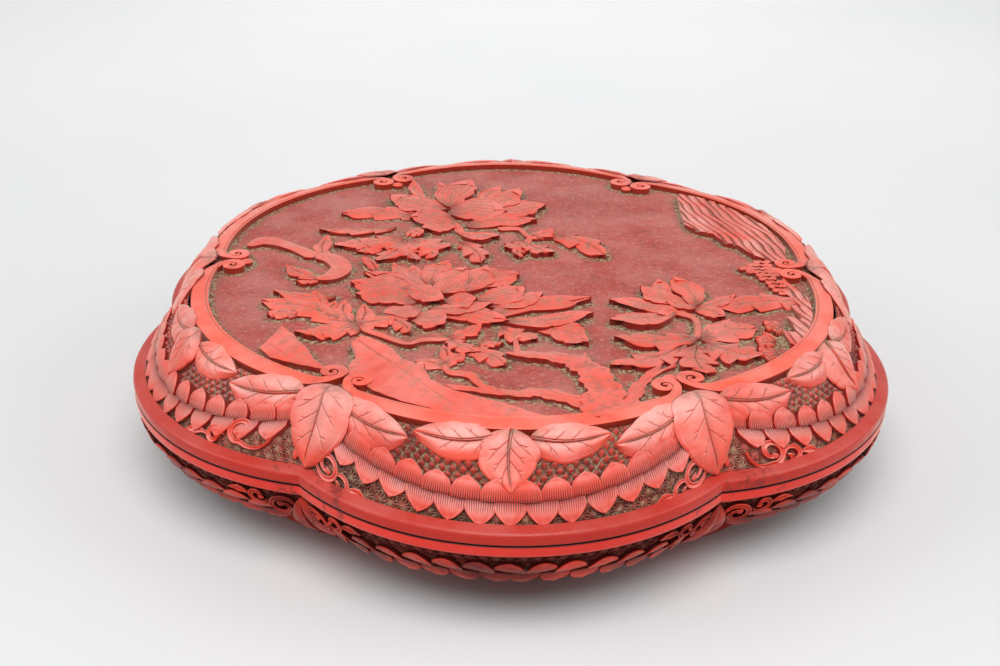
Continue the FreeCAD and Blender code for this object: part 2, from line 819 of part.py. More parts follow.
def cusp_leaf():
    """The large leaf that bridges the valley between two lobes of the lid, with the cusp along +X."""
    first = cusp_radius(FRAME_INSET - BOND)
    last = cusp_radius(LID_RIM_T + 2 * BOND)
    middle = (first + last) / 2
    low = SEAM_Z + LID_LEDGE_Z + BOND
    lifts = (0, CUSP_LEAF_LIFT, CUSP_LEAF_LIFT / 2)
    tops = [
        (reach, LID_ARC.height(LID_RELIEF_R, cusp_inset(reach)) + lift)
        for reach, lift in zip((first, middle, last), lifts)
    ]
    face = radial_face([(first, low)] + tops + [(last, low)])
    axis = Vec(0, 0, 1)
    face.rotate(Vec(0, 0, 0), axis, -HALF_LOBE_DEG)
    crown = face.revolve(Vec(0, 0, 0), axis, 2 * HALF_LOBE_DEG)
    run = Vec(last - first, 0, tops[2][1] - tops[0][1])
    down = Vec(run)
    down.normalize()
    across = Vec(0, 1, 0)
    normal = across.cross(down)
    root = Vec(first, 0, tops[0][1])
    matrix = FreeCAD.Matrix(
        across.x, down.x, normal.x, root.x,
        across.y, down.y, normal.y, root.y,
        across.z, down.z, normal.z, root.z,
        0, 0, 0, 1,
    )
    depth = 2 * CUSP_LEAF_W
    block = prism(leaf_edges(run.Length, CUSP_LEAF_W), -depth, depth)
    block.Placement = FreeCAD.Placement(matrix)
    leaf = block.common(crown).cut(lobed_plate(FRAME_INSET - LEAF_GAP, low - OVERRUN, SEAM_Z + depth))
    ground_r = LID_GROUND_R + BOND
    ledge = LID_ARC.inset_at(ground_r, low)
    under = lobe_wall(
        (ledge, low - OVERRUN),
        [
            ((ledge, low),),
            arc_step(LID_ARC, ground_r, ledge, FRAME_INSET),
            ((FRAME_IN_INSET, LID_ARC.height(ground_r, FRAME_INSET)),),
            ((FRAME_IN_INSET, low - OVERRUN),),
        ],
    )
    for side in both_sides(under):
        leaf = leaf.cut(side)
    return leaf


def base_cusp_leaf(layer):
    """The leaf in each valley of the base, pointing up to the rim, with the cusp along +X."""
    top_inset = BASE_ARC.inset_at(BASE_RELIEF_R, SEAM_Z - RIM_H - BOND)
    first = cusp_radius(0, FOOT_PITCH_R, FOOT_LOBE_R) + LEAF_GAP
    last = cusp_radius(top_inset)
    start = Vec(first, 0, BASE_ARC.height(BASE_RELIEF_R, cusp_inset(first)))
    end = Vec(last, 0, BASE_ARC.height(BASE_RELIEF_R, top_inset))
    up = end - start
    length = up.Length
    up.normalize()
    across = Vec(0, 1, 0)
    normal = across.cross(up)
    matrix = FreeCAD.Matrix(
        across.x, up.x, normal.x, start.x,
        across.y, up.y, normal.y, start.y,
        across.z, up.z, normal.z, start.z,
        0, 0, 0, 1,
    )
    block = prism(leaf_edges(length, BASE_LEAF_W), -BASE_LEAF_W, BASE_LEAF_W)
    block.Placement = FreeCAD.Placement(matrix)
    leaf = fused([block.common(side) for side in both_sides(layer)])
    return leaf.cut(foot_outline_plate(-LEAF_GAP, 0, SEAM_Z))


# Relief on the flat panel: outlines in plan, as shares of the panel's reach in the middle of a lobe

PANEL_REACH = LOBE_PITCH_R + LOBE_R - FRAME_IN_INSET
GROUND_TOP = SEAM_Z + PANEL_Z + BOND
CARVED_TOP = SEAM_Z + RELIEF_TOP_Z


def on_panel(share_x, share_y):
    return Vec(share_x * PANEL_REACH, share_y * PANEL_REACH, 0)


def scalloped_edges(centre, reach_x, reach_y, count, turn, notch):
    """A flower's outline: one arc per petal between notches."""
    spin = math.radians(turn)

    def spot(degrees, share):
        angle = math.radians(degrees)
        x = reach_x * share * math.cos(angle)
        y = reach_y * share * math.sin(angle)
        offset = Vec(x * math.cos(spin) - y * math.sin(spin), x * math.sin(spin) + y * math.cos(spin), 0)
        return centre + offset

    step = 360.0 / count
    edges = []
    for number in range(count):
        start = number * step
        edges.append(arc(spot(start, notch), spot(start + step / 2, 1), spot(start + step, notch)))
    return edges


def flower(place_shares, size_shares, petals, turn):
    """A peony: three stages of scalloped petals, the smallest on top."""
    centre = on_panel(*place_shares)
    stages = []
    for stage, share in enumerate(FLOWER_STAGE_SHARES):
        top = CARVED_TOP - RELIEF_STEP * (len(FLOWER_STAGE_SHARES) - 1 - stage)
        reach_x = size_shares[0] * PANEL_REACH * share
        reach_y = size_shares[1] * PANEL_REACH * share
        count = petals - 2 * stage
        edges = scalloped_edges(centre, reach_x, reach_y, count, turn * (stage + 1), FLOWER_NOTCH_SHARE)
        stages.append(prism(edges, GROUND_TOP, top))
    return fused(stages)


def panel_leaf(place_shares, length_share, width_share, turn):
    """A pointed leaf, a step below the flowers; it grows from its place along the turn."""
    edges = leaf_edges(length_share * PANEL_REACH, width_share * PANEL_REACH)
    leaf = prism(edges, GROUND_TOP, CARVED_TOP - RELIEF_STEP)
    leaf.rotate(Vec(0, 0, 0), Vec(0, 0, 1), turn - 90)
    leaf.translate(on_panel(*place_shares))
    return leaf


def ribbon_edges(points, widths):
    """A stem's outline along a bent line, wider or narrower at each point."""
    left = []
    right = []
    for number, point in enumerate(points):
        before = points[max(number - 1, 0)]
        after = points[min(number + 1, len(points) - 1)]
        along = (after - before).normalize()
        side = Vec(-along.y, along.x, 0) * (widths[number] / 2)
        left.append(point + side)
        right.append(point - side)
    loop = left + right[::-1]
    loop.append(loop[0])
    return [line(a, b) for a, b in zip(loop, loop[1:])]


def stem(place_shares, width_shares):
    points = [on_panel(*share) for share in place_shares]
    widths = [STEM_W * share for share in width_shares]
    return prism(ribbon_edges(points, widths), GROUND_TOP, CARVED_TOP - RELIEF_FIRST_STEP)


def rock(corner_shares, drop):
    """A flat rock with a broken outline."""
    points = [on_panel(*share) for share in corner_shares]
    return polygon_prism(points, GROUND_TOP, CARVED_TOP - drop)


def inside_frame(shape):
    """Keeps relief on the panel, clear of the frame and its scrolls."""
    plate = lobed_plate(FRAME_IN_INSET + LEAF_GAP, GROUND_TOP - OVERRUN, CARVED_TOP + OVERRUN)
    for middle in range(LOBE_COUNT):
        for side in (-1, 1):
            spot = polar(VOLUTE_REACH, FIRST_LOBE_DEG + HALF_LOBE_DEG + middle * 360.0 / LOBE_COUNT)
            along = Vec(spot).normalize()
            centre = spot + Vec(-along.y, along.x, 0) * (side * VOLUTE_SIDE)
            centre.z = GROUND_TOP - OVERRUN
            reach = VOLUTE_R + LEAF_GAP
            plate = plate.cut(Part.makeCylinder(reach, 2 * OVERRUN + RELIEF_TOP_Z, centre))
    return shape.common(plate)


# Each flower: place, half width and half depth. Each leaf: place, length and width, and its turn in degrees
BACK_FLOWER_SHARES = ((-0.24, 0.55, 0.24, 0.20),)
BACK_LEAF_SHARES = (
    (-0.30, 0.45, 0.26, 0.12), (-0.30, 0.42, 0.24, 0.13), (-0.27, 0.42, 0.22, 0.12),
    (-0.20, 0.42, 0.20, 0.11), (-0.08, 0.45, 0.24, 0.12), (-0.05, 0.55, 0.22, 0.12),
    (-0.14, 0.68, 0.20, 0.11), (0.10, 0.42, 0.16, 0.09), (0.18, 0.32, 0.14, 0.10),
)
BACK_LEAF_TURNS = (160, 190, 225, 275, 330, 10, 60, 340, 300)
BACK_STEM_SHARES = ((-0.02, 0.50, 1.0), (0.12, 0.40, 0.8), (0.20, 0.30, 1.0))
CENTRE_FLOWER_SHARES = ((-0.33, -0.20, 0.22, 0.17), (-0.01, -0.27, 0.25, 0.17))
CENTRE_LEAF_SHARES = (
    (-0.48, -0.22, 0.24, 0.11), (-0.47, -0.28, 0.22, 0.11), (-0.38, -0.34, 0.20, 0.11),
    (-0.22, -0.08, 0.22, 0.12), (-0.40, -0.08, 0.18, 0.10), (-0.22, -0.38, 0.22, 0.13),
    (-0.14, -0.40, 0.20, 0.13), (0.02, -0.40, 0.20, 0.12), (0.11, -0.34, 0.16, 0.11),
    (0.12, -0.20, 0.13, 0.10), (0.02, -0.14, 0.18, 0.11),
)
CENTRE_LEAF_TURNS = (170, 205, 240, 85, 120, 255, 290, 285, 330, 15, 70)
RIGHT_FLOWER_SHARES = ((0.47, -0.16, 0.17, 0.12),)
RIGHT_LEAF_SHARES = (
    (0.43, -0.24, 0.13, 0.10), (0.60, -0.16, 0.24, 0.10), (0.58, -0.22, 0.24, 0.11),
    (0.53, -0.30, 0.20, 0.12), (0.53, -0.38, 0.24, 0.12), (0.56, -0.38, 0.26, 0.13),
    (0.60, -0.34, 0.26, 0.13), (0.60, -0.32, 0.24, 0.12),
)
RIGHT_LEAF_TURNS = (200, 12, 345, 200, 225, 262, 305, 345)
RIGHT_STEM_SHARES = ((0.47, -0.20, 1.0), (0.54, -0.30, 1.0), (0.57, -0.40, 0.8))
RIBBON_STEM_SHARES = (
    (-0.90, 0.17, 0.8), (-0.80, 0.14, 1.4), (-0.70, 0.12, 2.0), (-0.63, 0.04, 1.8), (-0.60, -0.06, 1.0),
)
RIBBON_LEAF_SHARES = ((-0.61, -0.03, 0.22, 0.10), (-0.66, 0.06, 0.16, 0.09))
RIBBON_LEAF_TURNS = (215, 60)
TRUNK_SHARES = ((0.30, -0.97, 4.0), (0.29, -0.86, 3.4), (0.26, -0.76, 3.0), (0.22, -0.68, 2.4))
UPPER_BRANCH_SHARES = ((0.26, -0.72, 2.4), (0.12, -0.72, 2.0), (0.0, -0.66, 1.6), (-0.06, -0.62, 1.0))
LOWER_BRANCH_SHARES = ((0.25, -0.94, 2.6), (0.08, -0.84, 1.6), (-0.10, -0.76, 1.2), (-0.20, -0.72, 0.8))
RIGHT_BRANCH_SHARES = ((0.28, -0.86, 2.2), (0.36, -0.74, 1.4), (0.40, -0.64, 0.9))
TRUNK_LEAF_SHARES = ((-0.16, -0.73, 0.12, 0.07), (-0.14, -0.72, 0.12, 0.07))
TRUNK_LEAF_TURNS = (150, 100)
TRUNK_STEMS = (TRUNK_SHARES, UPPER_BRANCH_SHARES, LOWER_BRANCH_SHARES, RIGHT_BRANCH_SHARES)
FLOWER_PETALS = 11
FLOWER_TURN_DEG = 12.0


def panel_group(flower_shares, leaf_shares, turns, stems):
    """One connected group of the panel's relief."""
    pieces = [flower(row[:2], row[2:], FLOWER_PETALS, FLOWER_TURN_DEG) for row in flower_shares]
    pieces += [panel_leaf(row[:2], *row[2:], turn) for row, turn in zip(leaf_shares, turns)]
    pieces += [stem([row[:2] for row in rows], [row[2] for row in rows]) for rows in stems]
    return inside_frame(fused(pieces))


ROCK_LEFT_SHARES = (
    (-0.74, -0.58), (-0.67, -0.48), (-0.60, -0.50), (-0.55, -0.60),
    (-0.49, -0.70), (-0.43, -0.82), (-0.60, -0.82), (-0.74, -0.66),
)
ROCK_FRONT_SHARES = (
    (-0.49, -0.66), (-0.45, -0.53), (-0.38, -0.58), (-0.30, -0.68), (-0.20, -0.78),
    (-0.06, -0.84), (0.10, -0.90), (0.22, -0.97), (0.0, -1.05), (-0.36, -0.98), (-0.46, -0.80),
)
CLIFF_SHARES = (
    (0.63, 0.72), (0.64, 0.52), (0.64, 0.34), (0.78, 0.26), (0.86, 0.16), (1.0, 0.10), (1.0, 0.60),
)
WAVE_SHARES = ((0.74, 0.07), (0.82, 0.06), (0.90, 0.0), (0.90, -0.12), (0.84, -0.10), (0.80, -0.02))


LID_LAYER = lid_relief_layer()
BASE_LAYER = base_relief_layer()
LID_RELIEF = Relief(LID_ARC, LID_RELIEF_R, LID_LAYER)
BASE_RELIEF = Relief(BASE_ARC, BASE_RELIEF_R, BASE_LAYER)


def lid_carving():
    """The shoulder's motifs: leaves first, then the petals that they cover, then the scrolls."""
    spray = kept_apart(spray_blocks(LID_RELIEF), LID_LAYER)
    flank = kept_apart(flank_blocks(LID_RELIEF), LID_LAYER)
    leaf = cusp_leaf()
    covers = both_sides(leaf)
    flank = clear_of(flank, covers)
    row = (PETAL_H, PETAL_LINE_INSET, PETAL_LINE_CLIMB)
    upper = petal_row(LID_RELIEF, PETAL_UPPER_COUNT, 1, *row)
    lower = petal_row(LID_RELIEF, PETAL_LOWER_COUNT, -1, *row)
    insets = (LID_SCROLL_BIG_INSET, LID_SCROLL_SMALL_INSET, LID_TAIL_INSET)
    scrolls = rim_scrolls(LID_RELIEF, insets, 1)
    upper = clear_of(upper, spray + flank + covers)
    lower = clear_of(lower, spray + flank + covers)
    scrolls = clear_of(scrolls, covers + lower)
    return spray, flank, leaf, upper, lower, scrolls


def base_carving():
    """The same scheme on the belly, with the leaves of the valleys pointing up."""
    leaf = base_cusp_leaf(BASE_LAYER)
    covers = both_sides(leaf)
    row = (BASE_PETAL_H, BASE_PETAL_LINE_INSET, BASE_PETAL_LINE_CLIMB)
    upper = clear_of(petal_row(BASE_RELIEF, PETAL_UPPER_COUNT, 1, *row), covers)
    lower = clear_of(petal_row(BASE_RELIEF, PETAL_LOWER_COUNT, -1, *row), covers)
    insets = (BASE_SCROLL_BIG_INSET, BASE_SCROLL_SMALL_INSET, BASE_TAIL_INSET)
    scrolls = rim_scrolls(BASE_RELIEF, insets, -1)
    scrolls = clear_of(scrolls, covers + lower + upper)
    return leaf, upper, lower, scrolls


def all_lobes(shapes, turn=0.0):
    return [copy for shape in shapes for copy in at_lobes(shape, turn)]


def write_base():
    export("base_floor", [base_floor()])
    export("base_wall", [base_wall()])
    export("base_coat", [base_coat()])
    export("base_rim_band", [base_rim_band()])
    export("base_lining", [base_lining()])
    export("mouth_collar", [mouth_collar()])
    export("foot_ring", [foot_ring()])
    export("base_underside", [base_underside()])
    leaf, upper, lower, scrolls = base_carving()
    export("base_cusp_leaves", at_lobes(leaf, HALF_LOBE_DEG))
    export("base_petals_upper", all_lobes(upper))
    export("base_petals_lower", all_lobes(lower))
    export("base_rim_scrolls", all_lobes(scrolls))


def write_lid():
    export("lid_board", [lid_board()])
    export("lid_wall", [lid_wall()])
    export("lid_coat", [lid_coat()])
    export("lid_rim_band", [lid_rim_band()])
    export("lid_lining", [lid_lining()])
    export("lid_panel_ground", [lid_panel_ground()])
    export("lid_panel_frame", panel_frame())
    spray, flank, leaf, upper, lower, scrolls = lid_carving()
    export("lid_leaf_sprays", all_lobes(spray))
    export("lid_cusp_leaves", at_lobes(leaf, HALF_LOBE_DEG))
    export("lid_flank_leaves", all_lobes(flank))
    export("lid_petals_upper", all_lobes(upper))
    export("lid_petals_lower", all_lobes(lower))
    export("lid_rim_scrolls", all_lobes(scrolls))
    for name, flowers, leaves, turns, stems in (
        ("panel_back_peony", BACK_FLOWER_SHARES, BACK_LEAF_SHARES, BACK_LEAF_TURNS, (BACK_STEM_SHARES,)),
        ("panel_centre_peony", CENTRE_FLOWER_SHARES, CENTRE_LEAF_SHARES, CENTRE_LEAF_TURNS, ()),
        ("panel_right_peony", RIGHT_FLOWER_SHARES, RIGHT_LEAF_SHARES, RIGHT_LEAF_TURNS, (RIGHT_STEM_SHARES,)),
        ("panel_ribbon_leaf", (), RIBBON_LEAF_SHARES, RIBBON_LEAF_TURNS, (RIBBON_STEM_SHARES,)),
        ("panel_trunk", (), TRUNK_LEAF_SHARES, TRUNK_LEAF_TURNS, TRUNK_STEMS),
    ):
        export(name, [panel_group(flowers, leaves, turns, stems)])
    export("panel_rock_left", [inside_frame(rock(ROCK_LEFT_SHARES, 0))])
    export("panel_rock_front", [inside_frame(rock(ROCK_FRONT_SHARES, 0))])
    export("panel_cliff", [inside_frame(rock(CLIFF_SHARES, RELIEF_STEP))])
    export("panel_wave", [inside_frame(rock(WAVE_SHARES, RELIEF_FIRST_STEP))])


write_base()
write_lid()
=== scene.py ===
import math

import bpy
import numpy as np
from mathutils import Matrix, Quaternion, Vector


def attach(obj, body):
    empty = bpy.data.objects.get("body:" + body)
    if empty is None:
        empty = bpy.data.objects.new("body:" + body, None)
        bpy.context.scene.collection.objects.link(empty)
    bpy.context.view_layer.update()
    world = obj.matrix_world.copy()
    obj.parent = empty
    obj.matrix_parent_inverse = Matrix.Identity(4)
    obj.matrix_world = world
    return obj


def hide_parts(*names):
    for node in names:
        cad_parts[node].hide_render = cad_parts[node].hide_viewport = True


# A six-lobed box of carved red lacquer: its carving, its materials, and the photograph's view of it.
# Carving is worked out in millimetres, in the frame of the CAD model, and goes out in metres.

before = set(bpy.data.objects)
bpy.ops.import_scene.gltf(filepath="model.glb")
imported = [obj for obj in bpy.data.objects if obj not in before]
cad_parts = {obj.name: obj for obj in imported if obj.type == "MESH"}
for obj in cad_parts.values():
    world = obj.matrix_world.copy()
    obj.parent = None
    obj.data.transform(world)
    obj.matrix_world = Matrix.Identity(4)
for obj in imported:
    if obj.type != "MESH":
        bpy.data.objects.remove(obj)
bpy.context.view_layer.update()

MM = 0.001

# The box's plan and levels: six lobes of radius LOBE_R round centres at PITCH_R, and heights from the seam
LOBES = 6
PITCH_R = 60.0
LOBE_R = 90.0
FIRST_LOBE = math.radians(-90.0)
HALF_LOBE = math.pi / LOBES
SEAM_Z = 36.0
PANEL_Z = 25.4

# The frame of the panel: its lobes keep their radius and stand closer to the middle than those of the rim
FRAME_INSET = 24.0
FRAME_PITCH = 36.0
FRAME_W = 6.5
FRAME_OUTER_Z = 27.2
FRAME_INNER_Z = 28.4
VOLUTE_REACH = 109.8
VOLUTE_SIDE = 5.4
KNOB_REACH = 105.2
KNOB_R = 2.4

# Nothing stands above the inner edge of the frame: what would is eased down from KNEE_Z on, by CAP at most
KNEE_Z = 63.7
CAP = 0.7

# How finely the carving is cut
LIFT = 0.06
EDGE_DROP = 0.14
SHARP_DEG = 38.0
SWELL = 1.7


def smooth(low, high, value):
    """0 below low, 1 above high, and a smooth step between them."""
    share = np.clip((value - low) / (high - low), 0.0, 1.0)
    return share * share * (3.0 - 2.0 * share)


def bump(distance, width):
    return np.exp(-((distance / width) ** 2))


def saw(value):
    return value - np.floor(value)


def turned(x, y, angle):
    c, s = math.cos(angle), math.sin(angle)
    return x * c - y * s, x * s + y * c


def shares(count):
    return np.linspace(0.0, 1.0, count)


def heading(lobe):
    """Direction of a lobe's axis from the middle of the box."""
    return FIRST_LOBE + 2 * HALF_LOBE * lobe


# Surfaces that carving lies on


class Wall:
    """A lobed wall along a meridian arc round a point at an inset and a height.

    A lobe either shrinks about its axis with its inset, or keeps its radius and drifts to the middle of the box.
    """

    def __init__(self, inset, z, ground_r, relief_r, side, drifts):
        self.inset = inset
        self.z = z
        self.ground_r = ground_r
        self.relief_r = relief_r
        self.side = side
        self.drifts = drifts

    def lobe_circle(self, inset):
        """Pitch and radius of a lobe's outline at an inset."""
        return (PITCH_R - inset, LOBE_R + 0 * inset) if self.drifts else (PITCH_R + 0 * inset, LOBE_R - inset)

    def climb(self, inset):
        """Climb of the surface's normal where the relief's face has an inset."""
        return self.side * np.arccos((self.inset - inset) / self.relief_r)

    def swell(self, climb):
        """How far the shoulder swells below the frame."""
        return SWELL * self.drifts * smooth(0.7, 0.99, climb)

    def place(self, lobe, azimuth, climb, height):
        """Points at an azimuth about the lobe's axis and at a climb of the surface's normal."""
        reach = self.ground_r + self.swell(climb) + height
        pitch, radius = self.lobe_circle(self.inset - reach * np.cos(climb))
        x, y = pitch + radius * np.cos(azimuth), radius * np.sin(azimuth)
        x, y = turned(x, y, heading(lobe))
        return np.stack(np.broadcast_arrays(x, y, self.z + reach * np.sin(climb)), -1)

    def end_azimuth(self, climb):
        """Where a lobe ends at the valley beside it."""
        pitch, radius = self.lobe_circle(self.inset - (self.ground_r + self.swell(climb)) * np.cos(climb))
        return HALF_LOBE + np.arcsin(pitch * math.sin(HALF_LOBE) / radius)


LID_WALL = Wall(49.0, SEAM_Z - 15.2, 46.2, 48.7, 1, True)
BASE_WALL = Wall(28.0, SEAM_Z + 1.2, 26.3, 28.6, -1, False)


class Spot:
    """A place on a lobed wall: x runs along the rim, y up the wall, both turned by an angle."""

    def __init__(self, wall, lobe, azimuth_deg, inset, turn_deg=0.0):
        self.wall = wall
        self.lobe = lobe
        self.azimuth = math.radians(azimuth_deg)
        self.climb = wall.climb(inset)
        self.radius = wall.lobe_circle(inset)[1]
        self.turn = math.radians(turn_deg)

    def at(self, x, y, height):
        across, up = turned(x, y, self.turn)
        climb = self.climb + up / self.wall.relief_r
        return self.wall.place(self.lobe, self.azimuth + across / self.radius, climb, height)


class Valley:
    """The surface that bridges the valley between two lobes: y runs along the valley from one climb to another."""

    def __init__(self, wall, lobe, start_deg, end_deg, length, lift):
        self.wall = wall
        self.angle = heading(lobe) + HALF_LOBE
        self.start = math.radians(start_deg)
        self.run = math.radians(end_deg - start_deg)
        self.length = length
        self.lift = lift

    def at(self, x, y, height):
        x = math.copysign(1.0, self.run) * x
        share = y / self.length
        climb = self.start + self.run * share
        pitch, radius = self.wall.lobe_circle(self.wall.inset - self.wall.relief_r * np.cos(climb))
        bottom = pitch * math.cos(HALF_LOBE) + np.sqrt(radius**2 - (pitch * math.sin(HALF_LOBE)) ** 2)
        away = HALF_LOBE - np.abs(x) / bottom
        side = pitch * np.cos(away) + np.sqrt(radius**2 - (pitch * np.sin(away)) ** 2)
        on_lobe = (side - bottom) * np.cos(climb)
        bridge = self.lift * np.sin(math.pi * np.clip(share, 0.0, 1.0)) ** 0.6
        above = 0.5 * (on_lobe + bridge + np.sqrt((on_lobe - bridge) ** 2 + 1.2))
        above = above + height + self.wall.swell(climb) - (self.wall.relief_r - self.wall.ground_r)
        reach = bottom + above * np.cos(climb)
        z = self.wall.z + (self.wall.relief_r + above) * np.sin(climb)
        angle = self.angle + x / bottom
        return np.stack([reach * np.cos(angle), reach * np.sin(angle), z], -1)


class Flat:
    """A place on the lid's panel: y runs along the turn, heights above the panel's ground."""

    def __init__(self, x, y, turn_deg=0.0):
        self.x = x
        self.y = y
        self.turn = math.radians(turn_deg)

    def at(self, x, y, height):
        across, along = turned(x, y, self.turn)
        return np.stack(np.broadcast_arrays(self.x + across, self.y + along, SEAM_Z + PANEL_Z + height), -1)


PANEL = Flat(0.0, 0.0)


# Meshes


class Carving:
    """Grid patches that end up as one mesh, with values at the vertices for the material."""

    # Values at each vertex for the material: painted shade, dust, and the comb lines with their strength
    LAYERS = ("deep", "dust", "comb", "fade")

    def __init__(self):
        self.points = []
        self.quads = []
        self.layers = {name: [] for name in self.LAYERS}
        self.count = 0

    def grid(self, points, **layers):
        rows, lanes = points.shape[:2]
        index = np.arange(rows * lanes).reshape(rows, lanes) + self.count
        quads = np.stack([index[:-1, :-1], index[:-1, 1:], index[1:, 1:], index[1:, :-1]], -1)
        self.points.append(points.reshape(-1, 3))
        self.quads.append(quads.reshape(-1, 4))
        for name in self.LAYERS:
            self.layers[name].append(np.broadcast_to(layers.get(name, 0.0), (rows, lanes)).ravel())
        self.count += rows * lanes

    def block(self, chart, x, y, height, sink=0.0, foot_dust=0.55, **layers):
        """A carved block: its top, and walls down to sink with dust at their foot."""
        x, y = np.pad(x, 2, mode="edge"), np.pad(y, 2, mode="edge")
        top = np.pad(height, 2, mode="edge")
        foot = np.pad(np.zeros(height.shape), 2, constant_values=1.0)
        foot[1:-1, 1:-1] = 0.0
        walls = np.pad(np.zeros(height.shape), 2, constant_values=1.0)
        for name, value in layers.items():
            layers[name] = np.pad(np.broadcast_to(value, height.shape), 2, mode="edge")
        # Walls are darkened with painted shade, most of all at their foot
        layers["deep"] = np.maximum(layers.get("deep", 0.0), 0.8 * walls + 0.2 * foot)
        layers["dust"] = np.where(walls > 0, foot * foot_dust, layers.get("dust", 0.0))
        layers["fade"] = layers.get("fade", 0.0) * (1 - walls)
        self.grid(chart.at(x, y, np.where(foot > 0, sink, top - 0.25 * walls)), **layers)

    def mesh(self, name):
        points = np.concatenate(self.points) * MM
        quads = np.concatenate(self.quads)
        mesh = bpy.data.meshes.new(name)
        mesh.vertices.add(len(points))
        mesh.vertices.foreach_set("co", points.astype(np.float32).ravel())
        mesh.loops.add(quads.size)
        mesh.loops.foreach_set("vertex_index", quads.astype(np.int32).ravel())
        mesh.polygons.add(len(quads))
        mesh.polygons.foreach_set("loop_start", np.arange(0, quads.size, 4, dtype=np.int32))
        mesh.update(calc_edges=True)
        for layer, values in self.layers.items():
            attribute = mesh.attributes.new(layer, "FLOAT", "POINT")
            attribute.data.foreach_set("value", np.concatenate(values).astype(np.float32))
        mesh.shade_smooth()
        mesh.set_sharp_from_angle(angle=math.radians(SHARP_DEG))
        return mesh


def placed(name, data):
    """A new object in the scene."""
    item = bpy.data.objects.new(name, data)
    bpy.context.scene.collection.objects.link(item)
    return item


def dress(name, carving, material, *replaces, slot="lacquer_carved"):
    """Adds one carved piece to the body whose name it starts with, eased down where it would stand too high."""
    body = "box" if name.startswith("base") else "lid"
    for points in carving.points:
        z = points[:, 2]
        points[:, 2] = np.where(z > KNEE_Z, KNEE_Z + CAP * np.tanh((z - KNEE_Z) / CAP), z)
    mesh = carving.mesh(name)
    mesh.materials.append(material)
    piece = placed(name, mesh)
    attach(piece, body)
    if replaces:
        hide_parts(*replaces)


# Outlines: each motif is a strip along a centre line, with a width at every point of it


def spline(points, count):
    """A smooth line through a few points."""
    points = np.asarray(points, float)
    padded = np.concatenate([2 * points[:1] - points[1:2], points, 2 * points[-1:] - points[-2:-1]])
    place = np.linspace(0.0, len(points) - 1.0, count)
    number = np.minimum(place.astype(int), len(points) - 2)
    share = (place - number)[:, None]
    a, b, c, d = (padded[number + step] for step in range(4))
    return 0.5 * (
        2 * b + (c - a) * share + (2 * a - 5 * b + 4 * c - d) * share**2 + (3 * b - a - 3 * c + d) * share**3
    )


def strip(path, left, right, lanes, centred=False):
    """The strip's grid: x, y, the lane from -1 to 1, the share along it, and the offset from the centre line."""
    along = np.gradient(path, axis=0)
    along /= np.maximum(np.hypot(along[:, 0], along[:, 1]), 1e-9)[:, None]
    side = np.stack([along[:, 1], -along[:, 0]], -1)
    lane = np.linspace(-1.0, 1.0, lanes)
    lane = lane * (0.65 + 0.35 * np.abs(lane)) if centred else np.sin(lane * math.pi / 2)
    width = np.where(lane[None, :] < 0, left[:, None], right[:, None])
    offset = lane[None, :] * width
    x = path[:, 0, None] + side[:, 0, None] * offset
    y = path[:, 1, None] + side[:, 1, None] * offset
    run = shares(len(path))[:, None]
    lane, run = np.broadcast_arrays(lane[None, :], run)
    return x, y, lane, run, offset


def rounded(lane, drop=EDGE_DROP):
    """Takes the sharp arris off a strip's edges."""
    return -drop * smooth(0.9, 1.0, np.abs(lane))


def vein_lines(run, lane, length, width, veins):
    """Fine veins that leave the midrib for the tip, bend outward and fork: 1 in their middle."""
    spread = np.abs(lane)
    lines = np.zeros(run.shape)
    slant = 0.5 * width / length
    for number in range(veins):
        for side in (-1, 1):
            start = 0.05 + 0.62 * (number + 0.35 + 0.2 * side) / veins
            last = 0.82 - 0.1 * (number % 2) - 0.14 * number / veins
            stem = start + slant * (1.25 * spread - 0.35 * spread**2)
            fork = start + slant * (1.25 * 0.34 - 0.35 * 0.34**2 + 0.15 * (spread - 0.34))
            on_side = (lane * side > 0) * smooth(0.02, 0.06, spread)
            for line, first, end in ((stem, 0.0, last), (fork, 0.34, last - 0.1)):
                gap = np.abs(run - line) * length * 0.75
                vein = bump(gap, 0.13) * on_side * (spread > first) * smooth(end, end - 0.2, spread)
                lines = np.maximum(lines, vein)
    return lines


